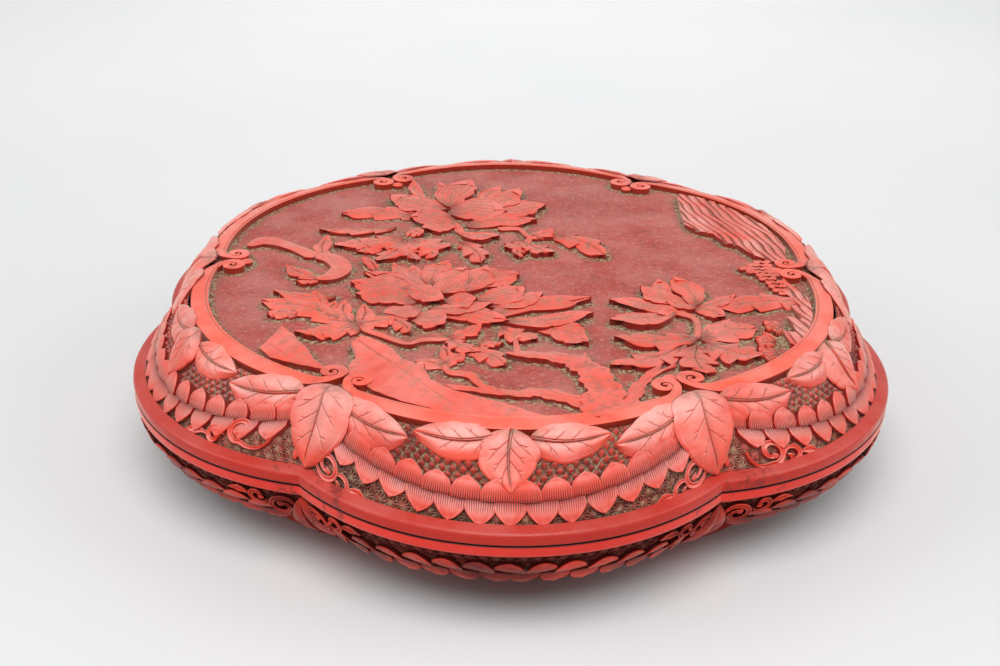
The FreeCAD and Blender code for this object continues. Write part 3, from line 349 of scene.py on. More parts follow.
def leaf(out, chart, length, width, bend=0.0, top=2.5, veins=3, fold=0.8, bulge=0.9, pitch=0.24):
    """A carved leaf from its base along y: smooth halves that meet in a step, a double midrib and fine veins."""
    rows = max(int(length / pitch), 24)
    lanes = max(int(width / pitch), 15) | 1
    t = shares(rows)
    path = np.stack([bend * np.sin(math.pi * t) * (1 - 0.3 * t), t * length], -1)
    shape = np.maximum(t, 1e-4) ** 0.55 * np.maximum(1 - t, 1e-4) ** 0.8
    shape = shape / shape.max()
    waves = [0.93 + 0.08 * np.abs(np.sin(math.pi * (count * t + length))) ** 0.7 for count in (2.6, 3.1)]
    left, right = (np.maximum(width / 2 * shape * wave, 0.03) for wave in waves)
    x, y, lane, run, offset = strip(path, left, right, lanes, centred=True)
    spread = np.abs(lane)
    lines = vein_lines(run, lane, length, width, veins)
    rib = bump(np.abs(offset) - 0.34 * (1.25 - run), 0.12) * smooth(0.97, 0.8, run)
    low_side = lane * math.copysign(1.0, fold) < 0
    step = np.where(low_side, -0.5 * np.exp(-spread / 0.3), 0.12 * np.exp(-spread / 0.2))
    step = step * smooth(1.0, 0.7, run)
    billow = 0.16 * np.sin(7.0 * run - 3.0 * spread + 2.0 * (lane > 0) + length) * np.sin(math.pi * spread)
    height = top - bulge * spread**2.2 + 0.4 * np.sin(math.pi * spread) + billow + fold * 0.5 * lane + step
    height = height + 0.14 * bump(spread - 0.93, 0.05) + rounded(lane) - 0.24 * lines - 0.34 * rib
    height = height - 0.5 * smooth(0.8, 1.0, run) - 0.3 * smooth(0.2, 0.0, run)
    shade = 0.3 * smooth(0.2, 0.0, run) + 0.35 * low_side * bump(spread, 0.16) * smooth(1.0, 0.6, run)
    grime = 0.6 * smooth(0.22, 0.0, run) + 0.32 * bump(spread, 0.22)
    grime = grime + 0.4 * bump(spread - 0.75, 0.2) * smooth(0.5, 1.0, run)
    fade = np.clip(0.6 * lines + 0.75 * rib, 0.0, 1.0)
    shade, grime = np.clip(shade, 0.0, 1.0), np.clip(grime, 0.0, 0.7)
    out.block(chart, x, y, height, deep=shade, dust=grime, comb=0.75, fade=fade)


def petal(out, chart, width, height, up, lean, top=2.35):
    """A lotus petal on its base line: low and combed at the line, high at the tip, one side over its neighbour."""
    t = shares(18)
    path = np.stack([np.zeros(t.shape), up * t * height], -1)
    if up > 0:
        shape = np.maximum(1 - t**2.7, 0.0) ** 0.62 * (1 - 0.1 * bump(t - 0.93, 0.08))
    else:
        shape = np.maximum(1 - np.maximum((t - 0.22) / 0.78, 0.0) ** 1.75, 0.0) ** 0.85
    half = np.maximum(width * 0.535 * (0.94 + 0.06 * np.sin(math.pi * t)) * shape, 0.05)
    x, y, lane, run, offset = strip(path, half, half, 23)
    margin = smooth(0.7, 0.95, np.maximum(np.abs(lane), smooth(0.55, 1.0, run)))
    body = top - 1.0 * (1 - smooth(-0.15, 0.7, run)) - 0.3 * lane**2 + 0.2 * margin
    body = body + lean * 0.5 * offset / (width / 2) + rounded(lane)
    comb = offset * (1 + 0.15 * run) / 0.74
    fade = smooth(0.66, 0.15, run) * (1 - smooth(0.88, 1.0, np.abs(lane)))
    # Darker towards the base line: painted shade
    deep = 0.6 * smooth(0.3, 0.0, run)
    out.block(chart, x, y, body, deep=deep, comb=comb, fade=fade, foot_dust=0.35)


def curl(out, chart, turns_deg, radii, side, up, width=1.7, bulb=1.3, height=2.3):
    """A scroll through radii at angles from the valley side, hollowed between raised edges, with a round end."""
    rows = 72
    angles = np.radians(spline([(turn, 0.0) for turn in turns_deg], rows)[:, 0])
    reach = spline([(radius, 0.0) for radius in radii], rows)[:, 0]
    path = np.stack([side * reach * np.cos(angles), up * reach * np.sin(angles)], -1)
    t = shares(rows)
    half = width / 2 * (0.35 + 0.65 * smooth(0.0, 0.3, t)) * (1 - 0.4 * smooth(0.6, 0.88, t))
    knob = np.sqrt(np.maximum(1 - ((t - 0.93) / 0.07) ** 2, 0.0))
    half = np.maximum(half * np.sqrt(np.maximum(1 - smooth(0.95, 1.0, t), 0.0)), np.maximum(bulb * knob, 0.05))
    x, y, lane, run, offset = strip(path, half, half, 13)
    hollow = smooth(0.65, 0.1, np.abs(lane)) * smooth(0.9, 0.8, run)
    dome = (1 - lane**2) * smooth(0.84, 0.93, run)
    top = height - 0.6 * hollow + 0.35 * dome + rounded(lane)
    # The hollow is darkened with painted shade
    out.block(chart, x, y, top, deep=0.3 * hollow)


def tail_leaf(out, chart, length, width, side):
    """The small pointed leaf that ends a chain of scrolls."""
    t = shares(30)
    path = np.stack([side * 0.9 * np.sin(math.pi * t), t * length], -1)
    half = width / 2 * (0.35 + 0.65 * smooth(0.1, 0.45, t)) * np.maximum(1 - smooth(0.5, 1.05, t), 0.02) ** 0.8
    half = np.maximum(half * (1 + 0.25 * bump(t - 0.52, 0.06)), 0.04)
    x, y, lane, run, offset = strip(path, half, half, 9)
    hollow = smooth(0.7, 0.1, np.abs(lane)) * smooth(0.9, 0.6, run)
    # The hollow is darkened with painted shade
    out.block(chart, x, y, 2.2 - 0.5 * hollow + rounded(lane), deep=0.35 * hollow)


def plume(out, row, top, petal_like, count, tilt=0.0):
    """A petal or a leaf on the panel from its base to its tip.

    A petal is fluted and ends in blunt scallops; a leaf has a midrib, a few veins and lobes that point forward.
    """
    x0, y0, x1, y1, width = row
    length = math.dist((x0, y0), (x1, y1))
    rows = max(int(length / 0.42), 18)
    lanes = max(int(width / 0.42), 15) | 1
    t = shares(rows)[:, None]
    lane = np.sin(np.linspace(-math.pi / 2, math.pi / 2, lanes))[None, :]
    spread = np.abs(lane)
    phase = np.where(lane < 0, 0.15, 0.6) + 0.37 * x0
    if petal_like:
        shape = np.maximum(t, 1e-3) ** 0.5 * np.maximum(1 - t**4.5, 1e-4) ** 0.5
        bite = 0.2 * (1 - np.abs(np.sin(math.pi * (count * t + phase))) ** 0.7) * smooth(0.2, 0.45, t)
        end = 1 - 0.16 * spread**2 - 0.08 * (1 - np.abs(np.cos(math.pi * (1.6 * lane + 0.2 * phase))))
    else:
        shape = np.maximum(t, 1e-3) ** 0.65 * np.maximum(1 - t, 1e-4) ** 0.5
        bite = 0.52 * (1 - saw(count * t + phase)) ** 1.5 * smooth(0.12, 0.3, t) * smooth(1.0, 0.85, t)
        end = 1 - 0.1 * spread**2.5
    shape = shape / shape.max()
    across = lane * np.maximum(width / 2 * shape * (1.08 - bite), 0.05)
    across, along = across + tilt * 0.1 * length * np.sin(math.pi * t), t * end * length
    lane, t = np.broadcast_arrays(lane, t)
    if petal_like:
        groove = bump(saw(lane * 3.5 + 0.5) - 0.5, 0.13) * smooth(0.05, 0.3, t) * smooth(1.0, 0.8, t)
        groove = groove * (0.4 + 0.6 * (np.abs(lane) > 1 / 7))
        rib = 0.5 * bump(lane * width / 2, 0.25) * smooth(0.9, 0.5, t)
        height = top - 1.0 * (1 - t) ** 2.0 - 0.4 * spread**2.2 + 0.3 * smooth(0.75, 1.0, np.maximum(t, spread))
    else:
        groove = bump(saw((t - 0.25 * spread) * count + 0.3) - 0.5, 0.07)
        groove = groove * smooth(0.8, 0.5, spread) * smooth(0.05, 0.2, t)
        rib = bump(lane * width / 2, 0.28) * smooth(0.98, 0.8, t)
        height = top - 0.6 * (1 - t) ** 2.2 - 0.5 * spread**2.2 + 0.3 * np.sin(math.pi * spread)
    height = height + tilt * 0.45 * lane + 0.2 * np.sin(7 * t + 3 * lane + x0) - 0.2 * groove - 0.35 * rib
    height = height - EDGE_DROP * (spread > 0.97)
    # Grooves, midrib and base are darkened with painted shade
    deep = np.clip(0.4 * groove + 0.7 * rib + 0.7 * smooth(0.35, 0.0, t), 0.0, 1.0)
    dust = 0.5 * (1 - spread**2) * smooth(1.0, 0.7, t) + 0.5 * groove + 0.3 * smooth(0.4, 0.1, t)
    dust = np.clip(dust, 0.0, 0.7)
    turn = math.degrees(math.atan2(y1 - y0, x1 - x0)) - 90
    out.block(Flat(x0, y0, turn), across, along, height, deep=deep, dust=dust, foot_dust=0.3)


def branch(out, points, widths, top=2.0, knots=0.0, seed=1, bark=0.12):
    """A stem on the panel through a few points, its bark furrowed along it."""
    run_length = sum(math.dist(a, b) for a, b in zip(points, points[1:]))
    rows = max(int(run_length / 0.7), 12)
    path = spline(points, rows)
    half = spline([(width, 0.0) for width in widths], rows)[:, 0] / 2
    t = shares(rows)
    ends = np.sqrt(np.clip(np.minimum(t, 1 - t) * 14, 0.02, 1.0))

    def side(slow, slow_shift, fast, fast_shift):
        knot = np.sin(t * run_length * slow + slow_shift) + 0.6 * np.sin(t * run_length * fast + fast_shift)
        return np.maximum(half * (1 + knots * knot) * ends, 0.1)

    left, right = side(0.55, seed, 1.3, 2 * seed), side(0.6, 2.5 * seed, 1.5, 0)
    x, y, lane, run, offset = strip(path, left, right, 13)
    furrow = np.sin(offset * 5.2 + 0.9 * np.sin(run * run_length * 0.5 + seed)) * smooth(1.0, 0.7, np.abs(lane))
    height = top - 0.45 * lane**2 + bark * furrow + 0.2 * np.sin(9 * run + 2 * lane + seed)
    dust = np.clip(0.25 - 3.5 * bark * furrow, 0.0, 0.6)
    # The bark's furrows are darkened with painted shade and hold dust
    out.block(PANEL, x, y, height, deep=np.clip(-3.0 * bark * furrow, 0, 1), dust=dust)


def ruled(out, low_edge, high_edge, top, relief, rows, lanes):
    """A broad motif between two broken lines on the panel; relief(x, y, v) shapes its face, with v across it."""
    first = spline_straight(low_edge, lanes)
    last = spline_straight(high_edge, lanes)
    v = shares(rows)[:, None, None]
    points = first[None] * (1 - v) + last[None] * v
    x, y = points[..., 0], points[..., 1]
    rise, dust = relief(x, y, v[:, :, 0])
    u = np.arange(lanes)[None, :]
    edge = np.minimum(np.minimum(u, lanes - 1 - u), np.minimum(v, 1 - v)[:, :, 0] * rows)
    height = top + rise - EDGE_DROP * smooth(1.5, 0.0, edge)
    # Lower parts of the face are darkened with painted shade
    out.block(PANEL, x, y, height, deep=np.clip(-1.3 * rise, 0, 0.8), dust=dust)


def spline_straight(points, count):
    """Points evenly spaced along a broken line."""
    points = np.asarray(points, float)
    steps = np.hypot(*np.diff(points, axis=0).T)
    place = np.concatenate([[0.0], np.cumsum(steps)])
    where = np.linspace(0.0, place[-1], count)
    return np.stack([np.interp(where, place, points[:, axis]) for axis in (0, 1)], -1)


# Carved grounds

# Radii that turn azimuths into lengths, for the grid's lanes and for the patterns
LANE_R = 80.0
PATTERN_R = 84.0


def pyramids(x, y, half_x=1.55, half_y=1.95):
    """A diaper of small four-sided pyramids: 0 in the grooves and 1 at the tops."""
    a = np.abs(saw(x / (2 * half_x) + y / (2 * half_y)) - 0.5) * 2
    b = np.abs(saw(x / (2 * half_x) - y / (2 * half_y)) - 0.5) * 2
    return 1 - np.maximum(a, b)


def hemp_leaf(x, y, side=4.0):
    """Distance from the lines of a hemp-leaf pattern: triangles, each split from its corners to its middle."""
    tall = side * math.sqrt(3) / 2
    row = y / tall
    skew = x / side - row / 2
    i, j = np.floor(skew), np.floor(row)
    a, b = skew - i, row - j
    upper = a + b > 1
    a, b = np.where(upper, 1 - a, a), np.where(upper, 1 - b, b)
    c = 1 - a - b
    edge = np.minimum(np.minimum(a, b), c) * tall
    px, py = side * (a + b / 2), tall * b
    spokes = np.full(px.shape, 1e9)
    for corner_x, corner_y in ((0.0, 0.0), (side, 0.0), (side / 2, tall)):
        mid_x, mid_y = side / 2, tall / 3
        run_x, run_y = mid_x - corner_x, mid_y - corner_y
        share = np.clip(((px - corner_x) * run_x + (py - corner_y) * run_y) / (run_x**2 + run_y**2), 0, 1)
        near = np.hypot(px - corner_x - share * run_x, py - corner_y - share * run_y)
        spokes = np.minimum(spokes, near)
    return np.minimum(edge, spokes)


def petal_line(azimuth, inset, climb_run, end_deg=42.0):
    """Inset of the petals' base line at an azimuth in degrees."""
    return inset + climb_run * (np.abs(azimuth) / end_deg) ** 2.2


def lobe_ground(wall, lobe, low_deg, high_deg, line, pitch, rim_deg):
    """The cut ground of one lobe: pyramids on the petals' far side, hemp leaves on their rim side."""
    out = Carving()
    low, high = math.radians(low_deg), math.radians(high_deg)
    rows = int((high - low) * wall.ground_r / pitch)
    lanes = int(2 * LANE_R * float(wall.end_azimuth(low)) / pitch)
    climb = np.linspace(low, high, rows)[:, None] * np.ones((1, lanes))
    azimuth = wall.end_azimuth(climb) * np.linspace(-1.0, 1.0, lanes)[None, :]
    x, y = azimuth * PATTERN_R, climb * wall.ground_r
    border = wall.climb(np.minimum(petal_line(np.degrees(azimuth), *line), 22.0))
    inner = smooth(-0.4, 0.4, (np.abs(climb) - np.abs(border)) * wall.ground_r)
    tops = pyramids(x, y)
    ridges = bump(hemp_leaf(x, y), 0.26)
    height = LIFT + inner * 1.45 * tops + (1 - inner) * 0.8 * ridges
    rim_dust = smooth(1.8, 0.2, np.abs(climb - math.radians(rim_deg)) * wall.ground_r) * 0.85
    dust = inner * 0.9 * smooth(0.28, 0.08, tops) + (1 - inner) * 0.6 * ridges
    # Grooves between the pyramids, and the ground between the hemp leaves' ridges, are darkened with painted shade
    deep = inner * 0.8 * smooth(0.55, 0.1, tops) + (1 - inner) * (1 - 0.9 * ridges)
    out.grid(wall.place(lobe, azimuth, climb, height), deep=deep, dust=np.maximum(dust, rim_dust))
    return out


class DustMap:
    """Where dust lies on the panel: it gathers beside whatever rises from it."""

    CELL = 1.0
    REACH = 130.0

    def __init__(self):
        cells = int(2 * self.REACH / self.CELL)
        self.map = np.zeros((cells, cells))

    def mark(self, carving):
        points = np.concatenate(carving.points)
        spots = ((points[:, :2] + self.REACH) / self.CELL).astype(int)
        spots = spots[(spots >= 0).all(1) & (spots < len(self.map)).all(1)]
        self.map[spots[:, 0], spots[:, 1]] = 1.0

    def spread(self, times=8):
        for _ in range(times):
            around = sum(np.roll(self.map, step, axis) for axis in (0, 1) for step in (-1, 1))
            self.map = 0.5 * self.map + 0.125 * around

    def at(self, x, y):
        i = np.clip(((x + self.REACH) / self.CELL).astype(int), 0, len(self.map) - 1)
        j = np.clip(((y + self.REACH) / self.CELL).astype(int), 0, len(self.map) - 1)
        return self.map[i, j]


# Length and breadth of a sixth of the panel, and how far inside the frame's outer edge it ends
PANEL_REACH = 112.0
PANEL_ARC = 118.0
UNDER_FRAME = 0.8


def panel_ground(sector, dust_map, pitch=0.5):
    """A sixth of the panel's cut ground: a fine diaper of lozenges with a dot in each."""
    out = Carving()
    reach = shares(int(PANEL_REACH / pitch))[:, None]
    angle = np.linspace(HALF_LOBE, -HALF_LOBE, int(PANEL_ARC / pitch))[None, :]
    band_r = LOBE_R - UNDER_FRAME
    edge = FRAME_PITCH * np.cos(angle) + np.sqrt(band_r**2 - (FRAME_PITCH * np.sin(angle)) ** 2)
    radius = reach * edge
    x, y = turned(radius * np.cos(angle), radius * np.sin(angle), heading(sector))
    cell = pyramids(x, y, 1.9, 1.25)
    lozenge = bump(cell, 0.16)
    dot = smooth(0.55, 0.8, cell)
    height = LIFT + 0.22 * lozenge + 0.16 * dot
    dust = np.clip(3.4 * dust_map.at(x, y), 0.0, 1.0)
    points = np.stack([x, y, SEAM_Z + PANEL_Z + height], -1)
    # The ground between the lozenges and round the dots is darkened with painted shade
    out.grid(points, deep=1 - 0.5 * lozenge - 0.3 * dot, dust=dust)
    return out


# The frame of the panel: radii of a scroll's two edges about its eye, at even steps of its turn

SCROLL_OUTER = (
    12.5, 7.9, 5.9, 5.1, 5.0, 5.15, 5.1, 4.85, 4.7, 4.5, 4.3, 4.1, 3.8, 3.3, 2.6, 2.1, 1.75, 1.5, 1.3, 1.1, 0.9, 0.7,
)
SCROLL_INNER = (
    5.9, 3.6, 2.9, 2.45, 2.2, 2.05, 1.95, 1.85, 1.75, 1.6, 1.5, 1.4, 1.3, 1.15, 0.95, 0.75, 0.55, 0.35, 0.2, 0.0, -0.2,
    -0.4,
)


def frame_half():
    """Both edges of half a band, from the lobe's middle to the end of its scroll, with a lobe along +X."""
    out = np.array([math.cos(HALF_LOBE), math.sin(HALF_LOBE)])
    back = np.array([math.sin(HALF_LOBE), -math.cos(HALF_LOBE)])
    centre = VOLUTE_REACH * out + VOLUTE_SIDE * back

    def along(radius, stop):
        angle = np.linspace(0.0, stop, 110)
        radius = LOBE_R + (radius - LOBE_R) * (1 - 0.15 * (angle / stop) ** 3)
        return np.stack([FRAME_PITCH + radius * np.cos(angle), radius * np.sin(angle)], -1)

    def wound(radii):
        radius = spline([(r, 0.0) for r in radii], 190)[:, 0]
        angle = np.radians(np.linspace(-30.0, 600.0, 190))
        points = centre + radius[:, None] * (np.cos(angle)[:, None] * out - np.sin(angle)[:, None] * back)
        return points, math.atan2(points[0, 1], points[0, 0] - FRAME_PITCH)

    edges = []
    for radius, radii in ((LOBE_R, SCROLL_OUTER), (LOBE_R - FRAME_W, SCROLL_INNER)):
        scroll, stop = wound(radii)
        edges.append(np.concatenate([along(radius, stop), scroll[1:]]))
    return edges


def frame_bands():
    """Six bowed bands, flat and polished, with a bead along the inner edge and a scroll at both ends."""
    out = Carving()
    outer, inner = (np.concatenate([(half * (1.0, -1.0))[::-1], half[1:]]) for half in frame_half())
    share = shares(41)[None, :, None]
    share = 0.5 - 0.5 * np.cos(math.pi * share)
    points = inner[:, None] * (1 - share) + outer[:, None] * share
    width = np.hypot(*(outer - inner).T)[:, None]
    inset = LOBE_R - np.hypot(points[..., 0] - FRAME_PITCH, points[..., 1])
    rise = (FRAME_INNER_Z - FRAME_OUTER_Z) / FRAME_W
    top = np.minimum(FRAME_OUTER_Z + rise * inset, FRAME_INNER_Z) - LIFT
    lane = share[..., 0] * width
    straight = smooth(0.5, 0.8, width / FRAME_W) * np.ones(lane.shape)
    groove = bump(lane - 0.95, 0.2) * straight
    to_edge = np.minimum(lane, width - lane)
    top = top - 0.35 * groove - EDGE_DROP * smooth(0.35, 0.0, to_edge) - 0.25 * (lane < 0.8) * straight
    for lobe in range(LOBES):
        x, y = turned(points[..., 0], points[..., 1], heading(lobe))
        # The bead's groove is darkened with painted shade and holds dust
        layers = {"deep": 0.6 * groove, "dust": 0.5 * groove}
        out.block(PANEL, x, y, top - PANEL_Z, sink=-2.6, foot_dust=0.35, **layers)
        ring = shares(9)[:, None]
        around = np.linspace(0.0, -2 * math.pi, 25)[None, :]
        x, y = KNOB_REACH + KNOB_R * ring * np.cos(around), KNOB_R * ring * np.sin(around)
        x, y = turned(x, y, heading(lobe) + HALF_LOBE)
        out.block(PANEL, x, y, 2.5 - 0.7 * ring**2 * np.ones(around.shape), foot_dust=0.35)
    return out


def rim_band(profile):
    """A plain rim: a profile of inset, height and darkness carried round the six lobes; the darkness is painted shade
    on the faces in the seam.
    """
    out = Carving()
    inset, z, dark = (np.array(values)[:, None] for values in zip(*profile))
    radius = LOBE_R - inset
    end = HALF_LOBE + np.arcsin(PITCH_R * math.sin(HALF_LOBE) / radius)
    azimuth = end * np.linspace(-1.0, 1.0, 161)[None, :]
    for lobe in range(LOBES):
        x, y = PITCH_R + radius * np.cos(azimuth), radius * np.sin(azimuth)
        x, y = turned(x, y, heading(lobe))
        points = np.stack(np.broadcast_arrays(x, y, z), -1)
        out.grid(points, deep=np.broadcast_to(dark, azimuth.shape))
    return out


# Materials


def srgb(red, green, blue):
    """A colour from 0-255 values as they show on a screen."""
    shown = (red / 255, green / 255, blue / 255)
    return tuple(((v + 0.055) / 1.055) ** 2.4 if v > 0.04 else v / 12.92 for v in shown) + (1.0,)


class Nodes:
    """Short names for building a material."""

    def __init__(self, name):
        self.material = bpy.data.materials.new(name)
        self.material.use_nodes = True
        self.tree = self.material.node_tree
        self.shader = self.tree.nodes["Principled BSDF"]

    def new(self, kind, **values):
        node = self.tree.nodes.new(kind)
        for name, value in values.items():
            setattr(node, name, value)
        return node

    def link(self, source, target):
        self.tree.links.new(source, target)

    def put(self, socket, value):
        if hasattr(value, "links"):
            self.link(value, socket)
        else:
            socket.default_value = value

    def math(self, operation, *values):
        node = self.new("ShaderNodeMath", operation=operation)
        for socket, value in zip(node.inputs, values):
            self.put(socket, value)
        return node.outputs[0]

    def times(self, first, second):
        return self.math("MULTIPLY", first, second)

    def axes(self, vector):
        split = self.new("ShaderNodeSeparateXYZ")
        self.link(vector, split.inputs[0])
        return split.outputs

    def ramp(self, value, low, high, out_low=0.0, out_high=1.0):
        node = self.new("ShaderNodeMapRange", interpolation_type="SMOOTHSTEP")
        for socket, item in zip(node.inputs, (value, low, high, out_low, out_high)):
            self.put(socket, item)
        return node.outputs[0]

    def mix(self, share, first, second):
        node = self.new("ShaderNodeMix", data_type="RGBA")
        self.put(node.inputs[0], share)
        self.put(node.inputs[6], first)
        self.put(node.inputs[7], second)
        return node.outputs[2]

    def place(self):
        return self.new("ShaderNodeTexCoord").outputs["Object"]

    def noise(self, scale, detail=3.0, roughness=0.55, place=None, distortion=0.0):
        node = self.new("ShaderNodeTexNoise")
        self.put(node.inputs["Vector"], place or self.place())
        values = {"Scale": scale, "Detail": detail, "Roughness": roughness, "Distortion": distortion}
        for name, value in values.items():
            node.inputs[name].default_value = value
        return node.outputs["Fac"]

    def patches(self, low, high, *noise, out=(0.0, 1.0), **more):
        """Soft-edged patches of a noise between two of its levels."""
        return self.ramp(self.noise(*noise, **more), low, high, *out)

    def layer(self, name):
        return self.new("ShaderNodeAttribute", attribute_name=name).outputs["Fac"]

    def bump(self, height, strength, distance, normal=None):
        node = self.new("ShaderNodeBump")
        node.inputs["Strength"].default_value = strength
        node.inputs["Distance"].default_value = distance
        self.link(height, node.inputs["Height"])
        if normal:
            self.link(normal, node.inputs["Normal"])
        return node.outputs["Normal"]


def with_painted_sheen(nodes, colour, painted_sheen):
    """Lays a painted sheen, a pale pink highlight, over faces that look up."""
    upward = nodes.axes(nodes.new("ShaderNodeTexCoord").outputs["Normal"])[2]
    upward = nodes.ramp(upward, 0.05, 0.85, 0.0, painted_sheen)
    share = nodes.times(upward, nodes.patches(0.3, 0.7, 48.0, 5.0, 0.6, out=(0.35, 1.5)))
    # The pale pink of the painted sheen
    return nodes.mix(share, colour, srgb(255, 204, 194))


def finish_lacquer(nodes, colour, rough_low, rough_high, dust=None, height=None, grain=1.0, shine=0.4):
    """Joins a colour to the shader, with uneven gloss and a slightly pitted surface."""
    shader = nodes.shader
    nodes.link(colour, shader.inputs["Base Color"])
    rough = nodes.patches(0.3, 0.7, 140.0, 4.0, out=(rough_low, rough_high))
    if dust is not None:
        rough = nodes.ramp(dust, 0.0, 1.0, rough, 0.9)
    nodes.link(rough, shader.inputs["Roughness"])
    shader.inputs["Specular IOR Level"].default_value = shine
    shader.inputs["Sheen Weight"].default_value = 2.0 * shine
    shader.inputs["Sheen Roughness"].default_value = 0.3
    shader.inputs["Sheen Tint"].default_value = srgb(255, 226, 205)
    pits = nodes.patches(0.24, 0.36, 900.0, 2.0)
    normal = nodes.bump(nodes.noise(260.0, 3.0), 0.16 * grain, 0.0006)
    normal = nodes.bump(pits, 0.25 * grain, 0.0002, normal)
    if height is not None:
        normal = nodes.bump(height, 0.8, 0.00022, normal)
    nodes.link(normal, shader.inputs["Normal"])
    return nodes.material


def carved_lacquer(name, top, low, dust_share=1.0, painted_sheen=0.3, shine=0.4):
    """Red lacquer of the carving: the top colour, darkened with painted shade to the low colour down the walls and in
    hollows, painted sheen on faces that look up, combed and dusty where marked.
    """
    nodes = Nodes(name)
    deep, dust, comb, fade = (nodes.layer(layer) for layer in Carving.LAYERS)
    cloud = nodes.patches(0.3, 0.72, 38.0, 5.0, 0.6)
    face = with_painted_sheen(nodes, nodes.mix(cloud, top, srgb(222, 64, 44)), painted_sheen)
    smoke = nodes.patches(0.56, 0.78, 95.0, 6.0, 0.7, distortion=0.4, out=(0.0, 0.5))
    face = nodes.mix(smoke, face, srgb(150, 70, 62))
    # Painted shade: towards the low colour where vertices are marked as shaded
    colour = nodes.mix(nodes.ramp(deep, 0.05, 0.95), face, low)
    # Comb lines and veins are grooves, bumped in and darkened: the darkening is painted shade in them
    wave = nodes.math("SINE", nodes.times(comb, 2 * math.pi))
    line = nodes.times(nodes.ramp(wave, 0.1, -0.8), fade)
    colour = nodes.mix(nodes.times(line, 0.85), colour, srgb(84, 26, 24))
    dusty = nodes.times(nodes.times(dust, nodes.patches(0.35, 0.62, 420.0, 4.0, 0.65)), dust_share)
    colour = nodes.mix(dusty, colour, srgb(150, 118, 100))
    return finish_lacquer(nodes, colour, 0.3, 0.46, dusty, nodes.times(line, -1.0), shine=shine)


# Steps of the ticks that are cut into the panel's ground, across and along, in metres
TICK_STEPS = (0.0015, 0.0019)


def ground_lacquer(name, top, low, dust_share=1.0, painted_sheen=0.1, shine=0.4, net=False):
    """The cut ground: red tops, cuts darkened with painted shade, and pale grains of dust on the dirt that lies in
    them.

    With net, the ground is finely ticked and grainy all over, under painted sheen on faces that look up.
    """
    nodes = Nodes(name)
    deep, dust = nodes.layer("deep"), nodes.layer("dust")
    face = nodes.mix(nodes.patches(0.3, 0.7, 60.0, 5.0, 0.6), top, srgb(120, 32, 30))
    if not net:
        face = with_painted_sheen(nodes, face, painted_sheen)
    # Painted shade: towards the low colour in the cuts
    colour = nodes.mix(nodes.ramp(deep, 0.15, 0.9), face, low)
    if net:
        axes = zip(nodes.axes(nodes.place()), TICK_STEPS)
        waves = [nodes.math("SINE", nodes.times(axis, 2 * math.pi / step)) for axis, step in axes]
        ticks = nodes.ramp(nodes.times(*waves), 0.1, 0.8, 0.0, 0.4)
        colour = nodes.mix(ticks, colour, srgb(110, 34, 32))
        for scale, low_end, high_end, share, tint in (
            (18.0, 0.45, 0.7, 0.3, (120, 56, 52)),
            (520.0, 0.52, 0.66, 0.34, (236, 164, 146)),
            (430.0, 0.53, 0.66, 0.5, (84, 30, 28)),
        ):
            patch = nodes.patches(low_end, high_end, scale, 3.0, 0.75, out=(0.0, share))
            colour = nodes.mix(patch, colour, srgb(*tint))
        colour = with_painted_sheen(nodes, colour, painted_sheen)
    dirt = nodes.times(nodes.times(dust, nodes.patches(0.3, 0.55, 180.0, 4.0, 0.7)), dust_share)
    colour = nodes.mix(dirt, colour, srgb(104, 66, 50))
    grains = nodes.times(nodes.patches(0.44, 0.58, 760.0, 3.0, 0.75), dirt)
    colour = nodes.mix(grains, colour, srgb(186, 168, 134))
    return finish_lacquer(nodes, colour, 0.42, 0.62, dirt, shine=shine)


def near_cusps(nodes, sharpness):
    """1 at the valleys between the lobes and 0 at the middle of each lobe."""
    x, y, _ = nodes.axes(nodes.place())
    wave = nodes.math("COSINE", nodes.times(nodes.math("ARCTAN2", y, x), float(LOBES)))
    return nodes.ramp(wave, sharpness, 1.0)


def plain_lacquer(name, red, worn, dark_share, near=0.55, painted_sheen=0.26, shine=0.4, cut=(40, 16, 16)):
    """Plain polished red lacquer, rubbed to dark in patches, most of all at the valleys."""
    nodes = Nodes(name)
    cloud = nodes.patches(0.3, 0.7, 26.0, 5.0, 0.6)
    face = with_painted_sheen(nodes, nodes.mix(cloud, red, worn), painted_sheen)
    smear = nodes.noise(70.0, 8.0, 0.72, distortion=0.8)
    limit = nodes.ramp(near_cusps(nodes, near), 0.0, 1.0, 0.66, 0.5)
    dark = nodes.times(nodes.ramp(nodes.math("SUBTRACT", smear, limit), 0.0, 0.1), dark_share)
    colour = nodes.mix(dark, face, srgb(62, 26, 28))
    # Walls, grooves and seam faces marked as shaded take the cut colour: painted shade
    colour = nodes.mix(nodes.layer("deep"), colour, srgb(*cut))
    colour = nodes.mix(nodes.times(nodes.layer("dust"), 0.7), colour, srgb(150, 132, 100))
    return finish_lacquer(nodes, colour, 0.26, 0.44, grain=0.7, shine=shine)


def black_lacquer(name):
    nodes = Nodes(name)
    cloud = nodes.patches(0.35, 0.7, 40.0, 6.0, 0.6)
    colour = nodes.mix(cloud, srgb(20, 18, 19), srgb(44, 34, 32))
    return finish_lacquer(nodes, colour, 0.22, 0.42, grain=0.6)


def core_wood(name):
    nodes = Nodes(name)
    stretch = nodes.new("ShaderNodeMapping")
    nodes.link(nodes.place(), stretch.inputs["Vector"])
    stretch.inputs["Scale"].default_value = (4.0, 40.0, 40.0)
    grain = nodes.noise(6.0, 6.0, 0.6, place=stretch.outputs[0], distortion=0.6)
    colour = nodes.mix(nodes.ramp(grain, 0.3, 0.7), srgb(84, 58, 42), srgb(46, 32, 26))
    return finish_lacquer(nodes, colour, 0.55, 0.75, height=grain)


